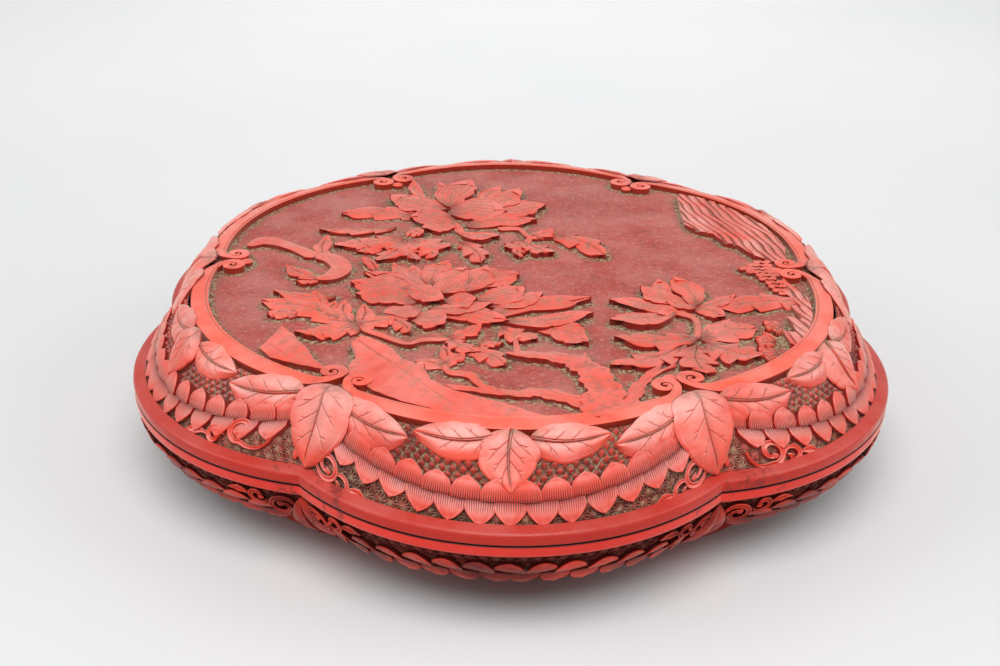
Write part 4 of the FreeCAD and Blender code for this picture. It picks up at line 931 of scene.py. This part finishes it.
# film below is the share of painted sheen, a pale highlight on faces that look up
CARVED = carved_lacquer("carved red lacquer", srgb(236, 64, 40), srgb(134, 16, 9))
MOTIF_RED = carved_lacquer(
    "carved red lacquer of the panel", srgb(246, 76, 50), srgb(140, 16, 9), painted_sheen=0.17)
LEAF_RED = carved_lacquer(
    "carved red lacquer of the leaves", srgb(252, 80, 54), srgb(146, 18, 10), painted_sheen=0.46)
# The base's carving and cut ground are much darker copies of the lid's reds: painted shade for the belly, which faces
# down
SHADED_BASE_CARVED = carved_lacquer(
    "carved red lacquer of the base in painted shade", srgb(112, 20, 15), srgb(54, 6, 5), dust_share=0.1, painted_sheen=0.03, shine=0.12)
GROUND = ground_lacquer("cut lacquer ground", srgb(204, 70, 52), srgb(84, 20, 14))
SHADED_BASE_GROUND = ground_lacquer(
    "cut lacquer ground of the base in painted shade", srgb(84, 16, 12), srgb(36, 5, 4), dust_share=0.14, painted_sheen=0.0, shine=0.1)
PANEL_GROUND = ground_lacquer(
    "cut lacquer ground of the panel", srgb(216, 88, 72), srgb(178, 52, 42), painted_sheen=0.13, net=True)
FRAME_RED = plain_lacquer(
    "polished red lacquer of the frame", srgb(250, 82, 50), srgb(242, 74, 44), 0.25, painted_sheen=0.2, cut=(128, 18, 12))
RIM_RED = plain_lacquer(
    "polished red lacquer of the rim", srgb(194, 40, 24), srgb(184, 34, 20), 0.5, near=0.3, painted_sheen=0.08, shine=0.3)
BASE_RIM_RED = plain_lacquer(
    "polished red lacquer of the lower rim", srgb(236, 52, 36), srgb(222, 44, 30), 0.6, near=0.3, painted_sheen=0.0,
    shine=0.3)
FOOT_RED = plain_lacquer("polished red lacquer of the foot", srgb(196, 44, 28), srgb(184, 38, 24), 0.4)
BLACK = black_lacquer("black lacquer")
WOOD = core_wood("core wood")

for node, material in (
    ("base_floor", WOOD), ("base_wall", WOOD), ("base_coat", SHADED_BASE_GROUND),
    ("base_lining", BLACK), ("mouth_collar", BLACK), ("foot_ring", FOOT_RED), ("base_underside", BLACK),
    ("lid_board", WOOD), ("lid_wall", WOOD), ("lid_coat", GROUND), ("lid_lining", BLACK),
    ("lid_panel_ground", PANEL_GROUND),
):
    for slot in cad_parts[node].material_slots:
        slot.material = material


# Carving of the lid's shoulder

# Degrees from petal to petal, and the line that both rows stand on, as petal_line takes it
LID_PETAL_STEP = 5.95
BASE_PETAL_STEP = 6.5
LID_LINE = (7.7, 4.7, 35.5)
BASE_LINE = (3.3, 1.8)


def petal_rows(wall, line, petal_step, height, top):
    """Both rows of petals on all lobes; each petal leans over its neighbour towards the valleys."""
    upper, lower = Carving(), Carving()
    for lobe in range(LOBES):
        chance = np.random.default_rng(40 + lobe)
        for out, count, up in ((upper, 14, 1), (lower, 13, -1)):
            for number in range(count):
                azimuth = (number - (count - 1) / 2) * petal_step + chance.normal(0.0, 0.12)
                inset = float(petal_line(azimuth, *line))
                ahead = float(petal_line(abs(azimuth) + 1.0, *line)) - inset
                rise = ahead / abs(math.sin(wall.climb(inset)))
                step = math.radians(wall.lobe_circle(inset)[1])
                turn = math.copysign(math.degrees(math.atan(rise / step)), azimuth) * wall.side
                tall = height * (1 + chance.normal(0.0, 0.03))
                lean = math.copysign(1.0, azimuth) * up
                spot = Spot(wall, lobe, azimuth, inset, turn)
                petal(out, spot, petal_step * step, tall, up * wall.side, lean, top)
    return upper, lower


def lid_leaves():
    """The sprays in the middle of each lobe and the leaves along the frame beside each valley."""
    sprays, flanks = Carving(), Carving()
    for lobe in range(LOBES):
        chance = np.random.default_rng(7 + lobe)
        for side in (-1, 1):
            long, wide = 1 + chance.normal(0.0, 0.03, 2)
            start = Spot(LID_WALL, lobe, side * 3.5, 21.5, -side * (93 + chance.normal(0, 2)))
            leaf(sprays, start, 26.0 * long, 12.5 * wide, side * 1.6, top=2.2, fold=-side * 0.8)
            long, wide = 1 + chance.normal(0.0, 0.03, 2)
            start = Spot(LID_WALL, lobe, side * 37.6, 21.6, side * (100 + chance.normal(0, 2)))
            leaf(flanks, start, 27.0 * long, 16.5 * wide, -side * 1.8, top=2.3, fold=side * 0.9)
        long, wide = 1 + chance.normal(0.0, 0.03, 2)
        start = Spot(LID_WALL, lobe, 0.0, FRAME_INSET - 0.2, 180)
        leaf(sprays, start, 19.5 * long, 20.0 * wide, 1.2, top=2.8, fold=-0.9)
    return sprays, flanks


# Lengths of the leaves in the valleys
LID_LEAF = 35.0
BASE_LEAF = 30.0


def valley_leaves():
    """The broad leaves that hang over the valleys of the lid, and those that stand in the valleys of the base."""
    lid, base = Carving(), Carving()
    for lobe in range(LOBES):
        bend = 1.6 * (-1) ** lobe
        over = Valley(LID_WALL, lobe, 63.0, 24.6, LID_LEAF, 3.0)
        leaf(lid, over, LID_LEAF, 23.5, 1.5 * bend, top=2.6, bulge=1.1, fold=1.3 * (-1) ** lobe)
        stand = Valley(BASE_WALL, lobe, -72.0, -12.5, BASE_LEAF, 2.0)
        leaf(base, stand, BASE_LEAF, 17.0, -bend, top=2.4, bulge=1.0, fold=-0.9)
    return lid, base


# Where the chains of scrolls stand: azimuth and inset of the large and small scrolls and of the leaf's ends
NEAR_CHAIN = ((40.7, 7.0), (36.7, 5.2), (35.2, 5.0), (29.5, 4.0), 5.4)
LEFT_CHAIN = ((30.0, 8.4), (24.1, 6.0), (21.9, 5.7), (15.2, 4.4), 12.5)
RIGHT_CHAIN = ((33.6, 6.7), (28.6, 5.4), (26.8, 5.4), (21.3, 4.1), 9.5)
BASE_CHAIN = ((44.8, 6.3), (39.3, 4.9), (37.6, 4.7), (31.0, 3.9), 5.4)
CHAINS = {(5, 1): LEFT_CHAIN, (1, -1): RIGHT_CHAIN}


def rim_chains(wall):
    """Scrolls beside each valley: a large one, a small one and a pointed leaf, in a chain along the rim."""
    out = Carving()
    for lobe in range(LOBES):
        for side in (-1, 1):
            up = wall.side
            chain = CHAINS.get((lobe, side), NEAR_CHAIN) if up > 0 else BASE_CHAIN
            shift = 0.0 if up > 0 else 4.4
            (big, big_inset), (small, small_inset), (tail, tail_inset), (tip, tip_inset), reach = chain
            spot = Spot(wall, lobe, side * big, max(big_inset - shift, 0.9))
            turns = (12, -20, -60, -100, -180, -270, -330, -390, -450, -500)
            radii = (reach, reach * 0.75 + 1.0, 4.7, 4.1, 3.9, 3.5, 3.0, 2.2, 1.5, 1.2)
            curl(out, spot, turns, radii, side, up, width=1.9, bulb=1.35)
            spot = Spot(wall, lobe, side * small, max(small_inset - shift, 0.8))
            turns, radii = (20, 90, 180, 270, 330, 380), (3.6, 2.9, 2.6, 2.1, 1.5, 1.1)
            curl(out, spot, turns, radii, side, up, width=1.7, bulb=1.2)
            if up > 0:
                spot = Spot(wall, lobe, side * tail, tail_inset)
                end = Spot(wall, lobe, side * tip, tip_inset)
                run = math.radians(tip - tail) * spot.radius
                fall = float(end.climb - spot.climb) * wall.relief_r
                spot.turn = math.atan2(-side * run, fall)
                tail_leaf(out, spot, math.hypot(run, fall), 3.1, side)
                spot = Spot(wall, lobe, side * 44.6, 5.9, side * -28)
                tail_leaf(out, spot, 5.0, 3.0, -side)
            else:
                spot = Spot(wall, lobe, side * tail, 0.8, side * 86)
                tail_leaf(out, spot, 9.0, 2.6, side)
    return out


# Motifs of the panel: x and y of the base and of the tip, and the width; the first lie lowest

BACK_LEAVES = (
    (-40, 53, -74, 54, 13.7), (-49, 40, -81, 34, 7.6), (-45, 36, -37, 32, 8.6), (-45, 30, -73, 18, 13.3),
    (-45, 27, -63, 12, 15.4), (-43, 26, -31, 6, 10.0), (-42, 26, -25, 18, 18.1), (-45, 25, -54, 2, 11.8),
    (-43, 25, -38, 3, 9.5), (-22, 24, -12, 2, 10.1), (6, 25, -3, 18, 12.7), (5, 27, 3, 8, 6.1),
    (6, 24, 17, 13, 11.6), (8, 31, 17, 39, 9.6), (17, 34, 38, 11, 13.2),
)
BACK_PETALS = (
    (-37, 73, -46, 97, 6.1), (-28, 64, -34, 95, 7.3), (-12, 66, -5, 91, 8.2), (-15, 63, 4, 88, 14.5),
    (-22, 34, -5, 30, 10.3), (-19, 43, 11, 49, 12.0), (-10, 63, 15, 67, 19.3), (-28, 62, -55, 76, 19.9),
    (-26, 50, -44, 49, 18.6), (-27, 63, -19, 98, 15.7), (-22, 45, -38, 36, 13.2), (-27, 59, -2, 58, 24.8),
)
CENTRE_LEAVES = (
    (-4, -54, 9, -64, 12.3), (-23, -63, -11, -53, 8.4), (-22, -63, -11, -75, 10.0), (-16, -72, -2, -84, 9.4),
    (-12, -67, -3, -68, 5.7), (-66, -31, -90, -28, 9.4), (-71, -46, -75, -28, 5.9), (-66, -49, -65, -37, 5.9),
    (-78, -46, -89, -48, 6.8), (-58, -57, -77, -62, 8.4), (-58, -55, -93, -37, 12.8), (-57, -55, -62, -36, 6.9),
    (-55, -54, -55, -39, 6.1), (-48, -47, -36, -61, 7.2), (-56, -56, -42, -51, 9.2), (-54, -57, -71, -65, 12.1),
    (-53, -9, -60, 5, 4.1),
)
CENTRE_PETALS = (
    (-32, -27, -58, -9, 9.7), (-35, -17, -47, 0, 7.7), (-32, -23, -39, -2, 8.5), (-31, -19, -25, 3, 10.3),
    (-28, -21, -17, -4, 10.9), (-21, -26, -10, -1, 12.2), (-17, -18, 3, -9, 15.9), (-37, -29, -62, -19, 14.6),
    (-36, -34, -59, -30, 12.6), (8, -52, 27, -67, 12.4), (14, -56, 25, -54, 6.7), (-10, -48, 30, -30, 10.2),
    (-13, -33, 5, -21, 15.6), (-9, -38, 12, -26, 10.9), (-34, -39, -47, -47, 12.8), (-36, -46, -24, -55, 13.4),
    (-3, -50, 30, -43, 11.4), (-28, -45, -1, -51, 11.3), (-31, -40, -7, -37, 12.0), (-29, -26, -20, -16, 14.1),
    (-25, -34, -13, -32, 14.8), (-43, -24, -25, -35, 12.0),
)
RIGHT_LEAVES = (
    (113, -29, 77, -36, 13.2), (67, -58, 79, -46, 8.8), (61, -65, 33, -83, 12.8), (67, -61, 88, -53, 14.5),
    (68, -65, 86, -75, 18.2), (66, -60, 36, -62, 14.6), (65, -67, 65, -89, 14.5),
)
RIGHT_PETALS = (
    (61, -32, 57, -11, 8.1), (69, -33, 62, -9, 10.2), (68, -34, 36, -31, 11.6), (69, -34, 85, -25, 7.2),
    (65, -32, 49, -19, 13.0), (68, -36, 78, -45, 7.8), (65, -38, 53, -44, 6.1), (69, -35, 57, -33, 7.5),
    (60, -40, 35, -49, 11.8),
)
RIBBON_LEAVES = ((-73, -14, -89, -3, 9.0), (-74, -16, -83, -19, 4.4), (-74, 4, -76, 27, 6.9))
SPRIG_LEAVES = ((-22, -85, -33, -83, 6.2), (-23, -85, -24, -71, 5.0), (-23, -85, -16, -77, 5.0))


def spray(out, rows, low, high, petal_like, count, seed):
    """A group of petals or leaves, each a little higher than the one before."""
    chance = np.random.default_rng(seed)
    for number, row in enumerate(rows):
        top = low + (high - low) * number / max(len(rows) - 1, 1)
        lobes = count * (1 + chance.normal(0.0, 0.1))
        plume(out, row, top, petal_like, lobes, float(chance.choice((-1.0, 1.0))))


def peonies():
    """The three groups of peonies with their leaves and stems."""
    groups = back, centre, right = Carving(), Carving(), Carving()
    rows = (BACK_LEAVES, BACK_PETALS), (CENTRE_LEAVES, CENTRE_PETALS), (RIGHT_LEAVES, RIGHT_PETALS)
    for number, (out, (leaves, petals)) in enumerate(zip(groups, rows)):
        spray(out, leaves, 1.9, 2.4, False, 2.6, 11 + number)
        spray(out, petals, 2.1, 2.8, True, 2.6, 21 + number)
    branch(back, ((8, 33), (6, 25), (5, 19)), (2.4, 3.0, 2.0), 1.7)
    branch(back, ((-24, 45), (-21, 35), (-15, 32)), (3.6, 3.6, 2.6), 1.7)
    branch(back, ((-6, 40), (3, 40), (8, 31), (19, 33)), (3.3, 2.4, 2.6, 2.4), 1.8)
    branch(centre, ((-54, -58), (-46, -63), (-37, -69), (-31, -66), (-22, -65)), (2.0, 2.2, 2.4, 2.2, 1.8), 2.1)
    branch(right, ((60, -40), (66, -44), (67, -52), (65, -62)), (2.6, 2.4, 2.4, 2.6), 2.1)
    return groups


def ribbon_leaf():
    out = Carving()
    branch(out, ((-108, 16), (-101, 22), (-88, 15), (-79, 6)), (2.8, 7.2, 6.0, 5.9), 2.1, bark=0.04)
    spray(out, RIBBON_LEAVES, 1.8, 2.2, False, 2.2, 31)
    branch(out, ((-79, 7), (-72, 4), (-67, -5), (-70, -13), (-76, -16)), (5.7, 7.5, 8.1, 7.2, 3.9), 2.5, bark=0.04)
    return out


# Stems of the trunk: points, widths, height, how knotty, and the seed of the knots
TRUNK_STEMS = (
    (((36, -111), (39, -103), (42, -96), (46, -88), (51, -80)), (8.0, 6.0, 4.4, 3.2, 1.4), 1.7, 0.16, 5),
    (((43, -93), (49, -86), (56, -81)), (3.2, 1.8, 1.0), 1.6, 0.1, 6),
    (((32, -113), (19, -106), (9, -102), (1, -103), (-12, -101), (-22, -99)),
     (10, 6.3, 5.6, 4.8, 3.1, 1.7), 2.0, 0.14, 4),
    (((-5, -101), (-10, -98), (-14, -91), (-21, -89), (-23, -83)), (3.6, 3.4, 3.3, 2.5, 1.8), 1.9, 0.12, 7),
    (((23, -88), (25, -74)), (4.0, 1.4), 2.2, 0.1, 3),
    (((2, -76), (1, -63)), (3.0, 1.3), 2.2, 0.1, 8),
    (((27, -119), (30, -104), (27, -89), (20, -80), (10, -77), (-2, -76)),
     (17, 13, 10.5, 8.4, 5.9, 3.5), 2.6, 0.13, 2),
)


def old_trunk():
    """The gnarled trunk at the front with its branches and a sprig of three leaves."""
    out = Carving()
    for row in TRUNK_STEMS:
        branch(out, *row)
    spray(out, SPRIG_LEAVES, 2.0, 2.2, False, 1.6, 41)
    return out


def smooth_rock(x, y, v):
    """Smooth faces with a few shallow folds that run down to the frame, scuffed here and there."""
    fold = x * 0.35 + y * 0.2
    wave = np.sin(fold + 1.2 * np.sin(0.11 * y)) + 0.5 * np.sin(0.9 * x - 0.5 * y)
    crease = bump(saw(0.06 * (x + 0.8 * y)) - 0.5, 0.03) * smooth(0.1, 0.5, v) * smooth(1.0, 0.7, v)
    dust = 0.35 * smooth(0.3, 0.9, wave) + 0.4 * crease + 0.5 * smooth(0.88, 1.0, v)
    return 0.12 * wave - 0.3 * crease, dust


def striated_bank(x, y, v):
    """Long furrows that leave the frame and run forward, open up and fill with dust."""
    phase = (x + 0.31 * y + 0.9 * np.sin(0.14 * y) + 0.35 * np.sin(0.45 * y + 0.3 * x)) / 3.3
    share = saw(phase)
    opening = 0.22 + 0.2 * np.sin(2.4 * np.floor(phase)) * np.sin(0.12 * y + np.floor(phase))
    hollow = smooth(0.08, 0.2, share) * smooth(0.35 + opening, 0.15 + opening, share)
    fine = 0.08 * np.sin(2 * math.pi * 3 * phase)
    return -0.8 * hollow + fine - 0.25 * share, 0.85 * hollow


ROCK_LEFT = (
    ((-82, -58), (-84, -66), (-87, -75), (-82, -82), (-72, -87), (-62, -90)),
    ((-82, -58), (-77, -64), (-74, -70), (-71, -74), (-67, -83), (-62, -89)),
)
ROCK_FRONT = (
    ((-53, -64), (-56, -70), (-53, -81), (-55, -87), (-54, -93), (-50, -98), (-45, -104), (-35, -110.5),
     (-20, -117), (0, -119.8), (13, -119.4)),
    ((-53, -64), (-46, -69), (-42, -73), (-37, -82), (-30, -86), (-27, -95), (-20, -102), (-8, -108), (0, -112),
     (6, -116), (13, -119)),
)
CLIFF = (
    ((75, 83), (74, 60), (74, 47), (78, 40), (85, 36), (88, 27), (93, 25), (98, 14), (105, 8)),
    ((75, 84), (84, 80), (91, 74), (97, 66), (103, 57), (108, 46), (111, 34), (112.5, 22), (110, 9)),
)
SIDE_BANK = (
    ((105, -9), (106, -26), (103, -17), (108, -34), (104, -33), (106, -45), (101, -42), (102, -56), (97, -54),
     (98, -64)),
    ((106, -8), (110, -16), (112, -26), (111.5, -36), (110, -44), (107, -52), (104, -59), (100, -66)),
)


def rock_mass(edges, top, relief, rows, lanes):
    out = Carving()
    ruled(out, edges[0], edges[1], top, relief, rows, lanes)
    return out


WAVE_ROWS = (
    (97.0, 105.0, 8.2), (93.5, 104.5, 5.0), (90.0, 105.5, 1.6), (92.5, 105.0, -1.5), (96.0, 105.5, -4.6),
    (96.5, 104.5, -8.0), (98.5, 106.5, -11.5), (99.0, 106.5, -15.0), (100.0, 106.0, -18.6), (102.0, 105.5, -21.8),
)


def wave_crests():
    """Stacked wavy crests beside the bank, and three sprigs under them."""
    out = Carving()
    for left, right, y in WAVE_ROWS:
        x = np.arange(left, right, 1.35)
        points = [(px, y + 0.55 * (-1) ** step) for step, px in enumerate(x)]
        branch(out, points, (1.9,) * len(points), 2.2, bark=0.0)
    for x, y, turn in ((98, -50, 200), (93, -63, 160), (92, -72, 190)):
        for step in (-40, 0, 40):
            angle = math.radians(turn + step)
            row = (x, y, x + 7.5 * math.cos(angle), y + 7.5 * math.sin(angle), 3.6)
            plume(out, row, 1.9, False, 2.4, 1.0)
    return out


# Climbs where the cut grounds meet the rims
LID_FOOT_DEG = 23.7
BASE_TOP_DEG = -12.6

# Profiles of the rims: inset, height and darkness, the darkness being painted shade on the faces in the seam between
# lid and base
LID_RIM = (
    (4.5, 36.2, 1.0), (0.5, 36.2, 1.0), (0.2, 36.27, 1.0), (0.05, 36.4, 0.7), (0.0, 36.6, 0.15), (0.0, 36.9, 0.0),
    (0.0, 38.9, 0.0), (0.14, 39.6, 0.0), (0.47, 40.03, 0.0), (1.0, 40.35, 0.0), (1.6, 40.5, 0.0), (4.5, 41.0, 0.0),
    (4.5, 36.2, 1.0),
)
BASE_RIM = (
    (2.3, 35.8, 1.0), (2.3, 31.5, 1.0), (1.6, 31.5, 0.2), (1.0, 31.65, 0.0), (0.47, 31.97, 0.0), (0.14, 32.4, 0.0),
    (0.0, 33.1, 0.0), (0.0, 35.1, 0.0), (0.0, 35.4, 0.15), (0.05, 35.6, 0.7), (0.2, 35.73, 1.0), (0.5, 35.8, 1.0),
    (2.3, 35.8, 1.0),
)


def dress_shoulder():
    dress("lid_rim_turning", rim_band(LID_RIM), RIM_RED, "lid_rim_band", slot="lacquer_plain")
    dress("base_rim_turning", rim_band(BASE_RIM), BASE_RIM_RED, "base_rim_band", slot="lacquer_plain")
    sprays, flanks = lid_leaves()
    dress("lid_leaf_spray_carving", sprays, LEAF_RED, "lid_leaf_sprays")
    dress("lid_flank_leaf_carving", flanks, LEAF_RED, "lid_flank_leaves")
    lid, base = valley_leaves()
    dress("lid_valley_leaf_carving", lid, LEAF_RED, "lid_cusp_leaves")
    dress("base_valley_leaf_carving", base, SHADED_BASE_CARVED, "base_cusp_leaves")
    upper, lower = petal_rows(LID_WALL, LID_LINE, LID_PETAL_STEP, 7.4, 2.45)
    dress("lid_upper_petal_carving", upper, CARVED, "lid_petals_upper")
    dress("lid_lower_petal_carving", lower, CARVED, "lid_petals_lower")
    upper, lower = petal_rows(BASE_WALL, BASE_LINE, BASE_PETAL_STEP, 6.6, 2.2)
    dress("base_upper_petal_carving", upper, SHADED_BASE_CARVED, "base_petals_upper")
    dress("base_lower_petal_carving", lower, SHADED_BASE_CARVED, "base_petals_lower")
    dress("lid_scroll_carving", rim_chains(LID_WALL), CARVED, "lid_rim_scrolls")
    dress("base_scroll_carving", rim_chains(BASE_WALL), SHADED_BASE_CARVED, "base_rim_scrolls")
    for lobe in range(LOBES):
        ground = lobe_ground(LID_WALL, lobe, LID_FOOT_DEG, 57.2, LID_LINE, 0.27, LID_FOOT_DEG)
        dress(f"lid_ground_carving_{lobe + 1}", ground, GROUND, slot="lacquer_ground")
        ground = lobe_ground(BASE_WALL, lobe, -84.0, BASE_TOP_DEG, BASE_LINE, 0.34, BASE_TOP_DEG)
        dress(f"base_ground_carving_{lobe + 1}", ground, SHADED_BASE_GROUND, slot="lacquer_ground")


def dress_panel():
    back, centre, right = peonies()
    dust_map = DustMap()
    for name, carving, material, *nodes in (
        ("lid_back_peony_carving", back, MOTIF_RED, "panel_back_peony"),
        ("lid_centre_peony_carving", centre, MOTIF_RED, "panel_centre_peony"),
        ("lid_right_peony_carving", right, MOTIF_RED, "panel_right_peony"),
        ("lid_ribbon_leaf_carving", ribbon_leaf(), MOTIF_RED, "panel_ribbon_leaf"),
        ("lid_trunk_carving", old_trunk(), MOTIF_RED, "panel_trunk"),
        ("lid_rock_left_carving", rock_mass(ROCK_LEFT, 2.35, smooth_rock, 40, 70), MOTIF_RED, "panel_rock_left"),
        ("lid_rock_front_carving", rock_mass(ROCK_FRONT, 2.3, smooth_rock, 60, 170), MOTIF_RED, "panel_rock_front"),
        ("lid_cliff_carving", rock_mass(CLIFF, 2.6, striated_bank, 110, 200), LEAF_RED, "panel_cliff"),
        ("lid_wave_carving", wave_crests(), MOTIF_RED, "panel_wave"),
        ("lid_side_bank_carving", rock_mass(SIDE_BANK, 2.2, striated_bank, 36, 130), LEAF_RED),
    ):
        dress(name, carving, material, *nodes)
        dust_map.mark(carving)
    frame_piece = frame_bands()
    dust_map.mark(frame_piece)
    dust_map.spread()
    dress("lid_frame_carving", frame_piece, FRAME_RED, "lid_panel_frame", slot="lacquer_plain")
    for sector in range(LOBES):
        ground = panel_ground(sector, dust_map)
        dress(f"lid_panel_ground_carving_{sector + 1}", ground, PANEL_GROUND, slot="lacquer_ground")


dress_shoulder()
dress_panel()

# Camera, light and floor


def aimed(item, place, aim, roll=0.0):
    sight = Vector(aim) - Vector(place)
    item.location = place
    item.rotation_mode = "QUATERNION"
    item.rotation_quaternion = sight.to_track_quat("-Z", "Y") @ Quaternion((0, 0, 1), roll)


def add_camera():
    """The photograph's viewpoint, fitted to the rims and to the corners between the lobes."""
    data = bpy.data.cameras.new("photograph")
    data.sensor_width = 36.0
    data.lens = 46.29
    data.clip_start = 0.01
    camera = placed("photograph", data)
    aimed(camera, (-0.0043, -0.4680, 0.2667), (-0.0043, 0.0, 0.0333), 0.0173)
    bpy.context.scene.camera = camera


def add_lamp(name, place, aim, size, power):
    data = bpy.data.lights.new(name, "AREA")
    data.shape = "DISK"
    data.size = size
    data.energy = power
    aimed(placed(name, data), place, aim)


def add_floor():
    """A pale sheet that lies under the box and rises behind it."""
    run = np.linspace(-1.6, 2.4, 90)
    rise = np.where(run > 1.2, 0.9 * (run - 1.2) ** 2, 0.0)
    across = np.linspace(-3.0, 3.0, 60)
    points = np.stack(np.broadcast_arrays(across[None, :], run[:, None], rise[:, None]), -1) / MM
    sheet = Carving()
    sheet.grid(points)
    mesh = sheet.mesh("floor")
    nodes = Nodes("pale paper")
    cloud = nodes.patches(0.3, 0.7, 3.0, 3.0)
    colour = nodes.mix(cloud, srgb(231, 231, 232), srgb(227, 228, 229))
    nodes.link(colour, nodes.shader.inputs["Base Color"])
    nodes.shader.inputs["Roughness"].default_value = 0.6
    mesh.materials.append(nodes.material)
    floor = placed("floor", mesh)


def light_world():
    world = bpy.data.worlds.new("studio")
    world.use_nodes = True
    background = world.node_tree.nodes["Background"]
    background.inputs["Color"].default_value = (1.0, 1.0, 1.0, 1.0)
    background.inputs["Strength"].default_value = 0.31
    bpy.context.scene.world = world


BOX_MIDDLE = (0.0, 0.0, 0.04)

add_camera()
add_lamp("left softbox", (-0.95, -0.15, 0.7), BOX_MIDDLE, 0.7, 2.8)
add_lamp("right softbox", (0.95, -0.1, 0.7), BOX_MIDDLE, 0.7, 2.8)
add_lamp("overhead softbox", (0.0, -0.6, 1.1), BOX_MIDDLE, 1.0, 11.0)
add_lamp("backdrop lamp", (0.0, 0.6, 1.3), (0.0, 2.2, 0.5), 0.8, 16.5)
add_floor()
light_world()
bpy.context.scene.view_settings.view_transform = "Standard"
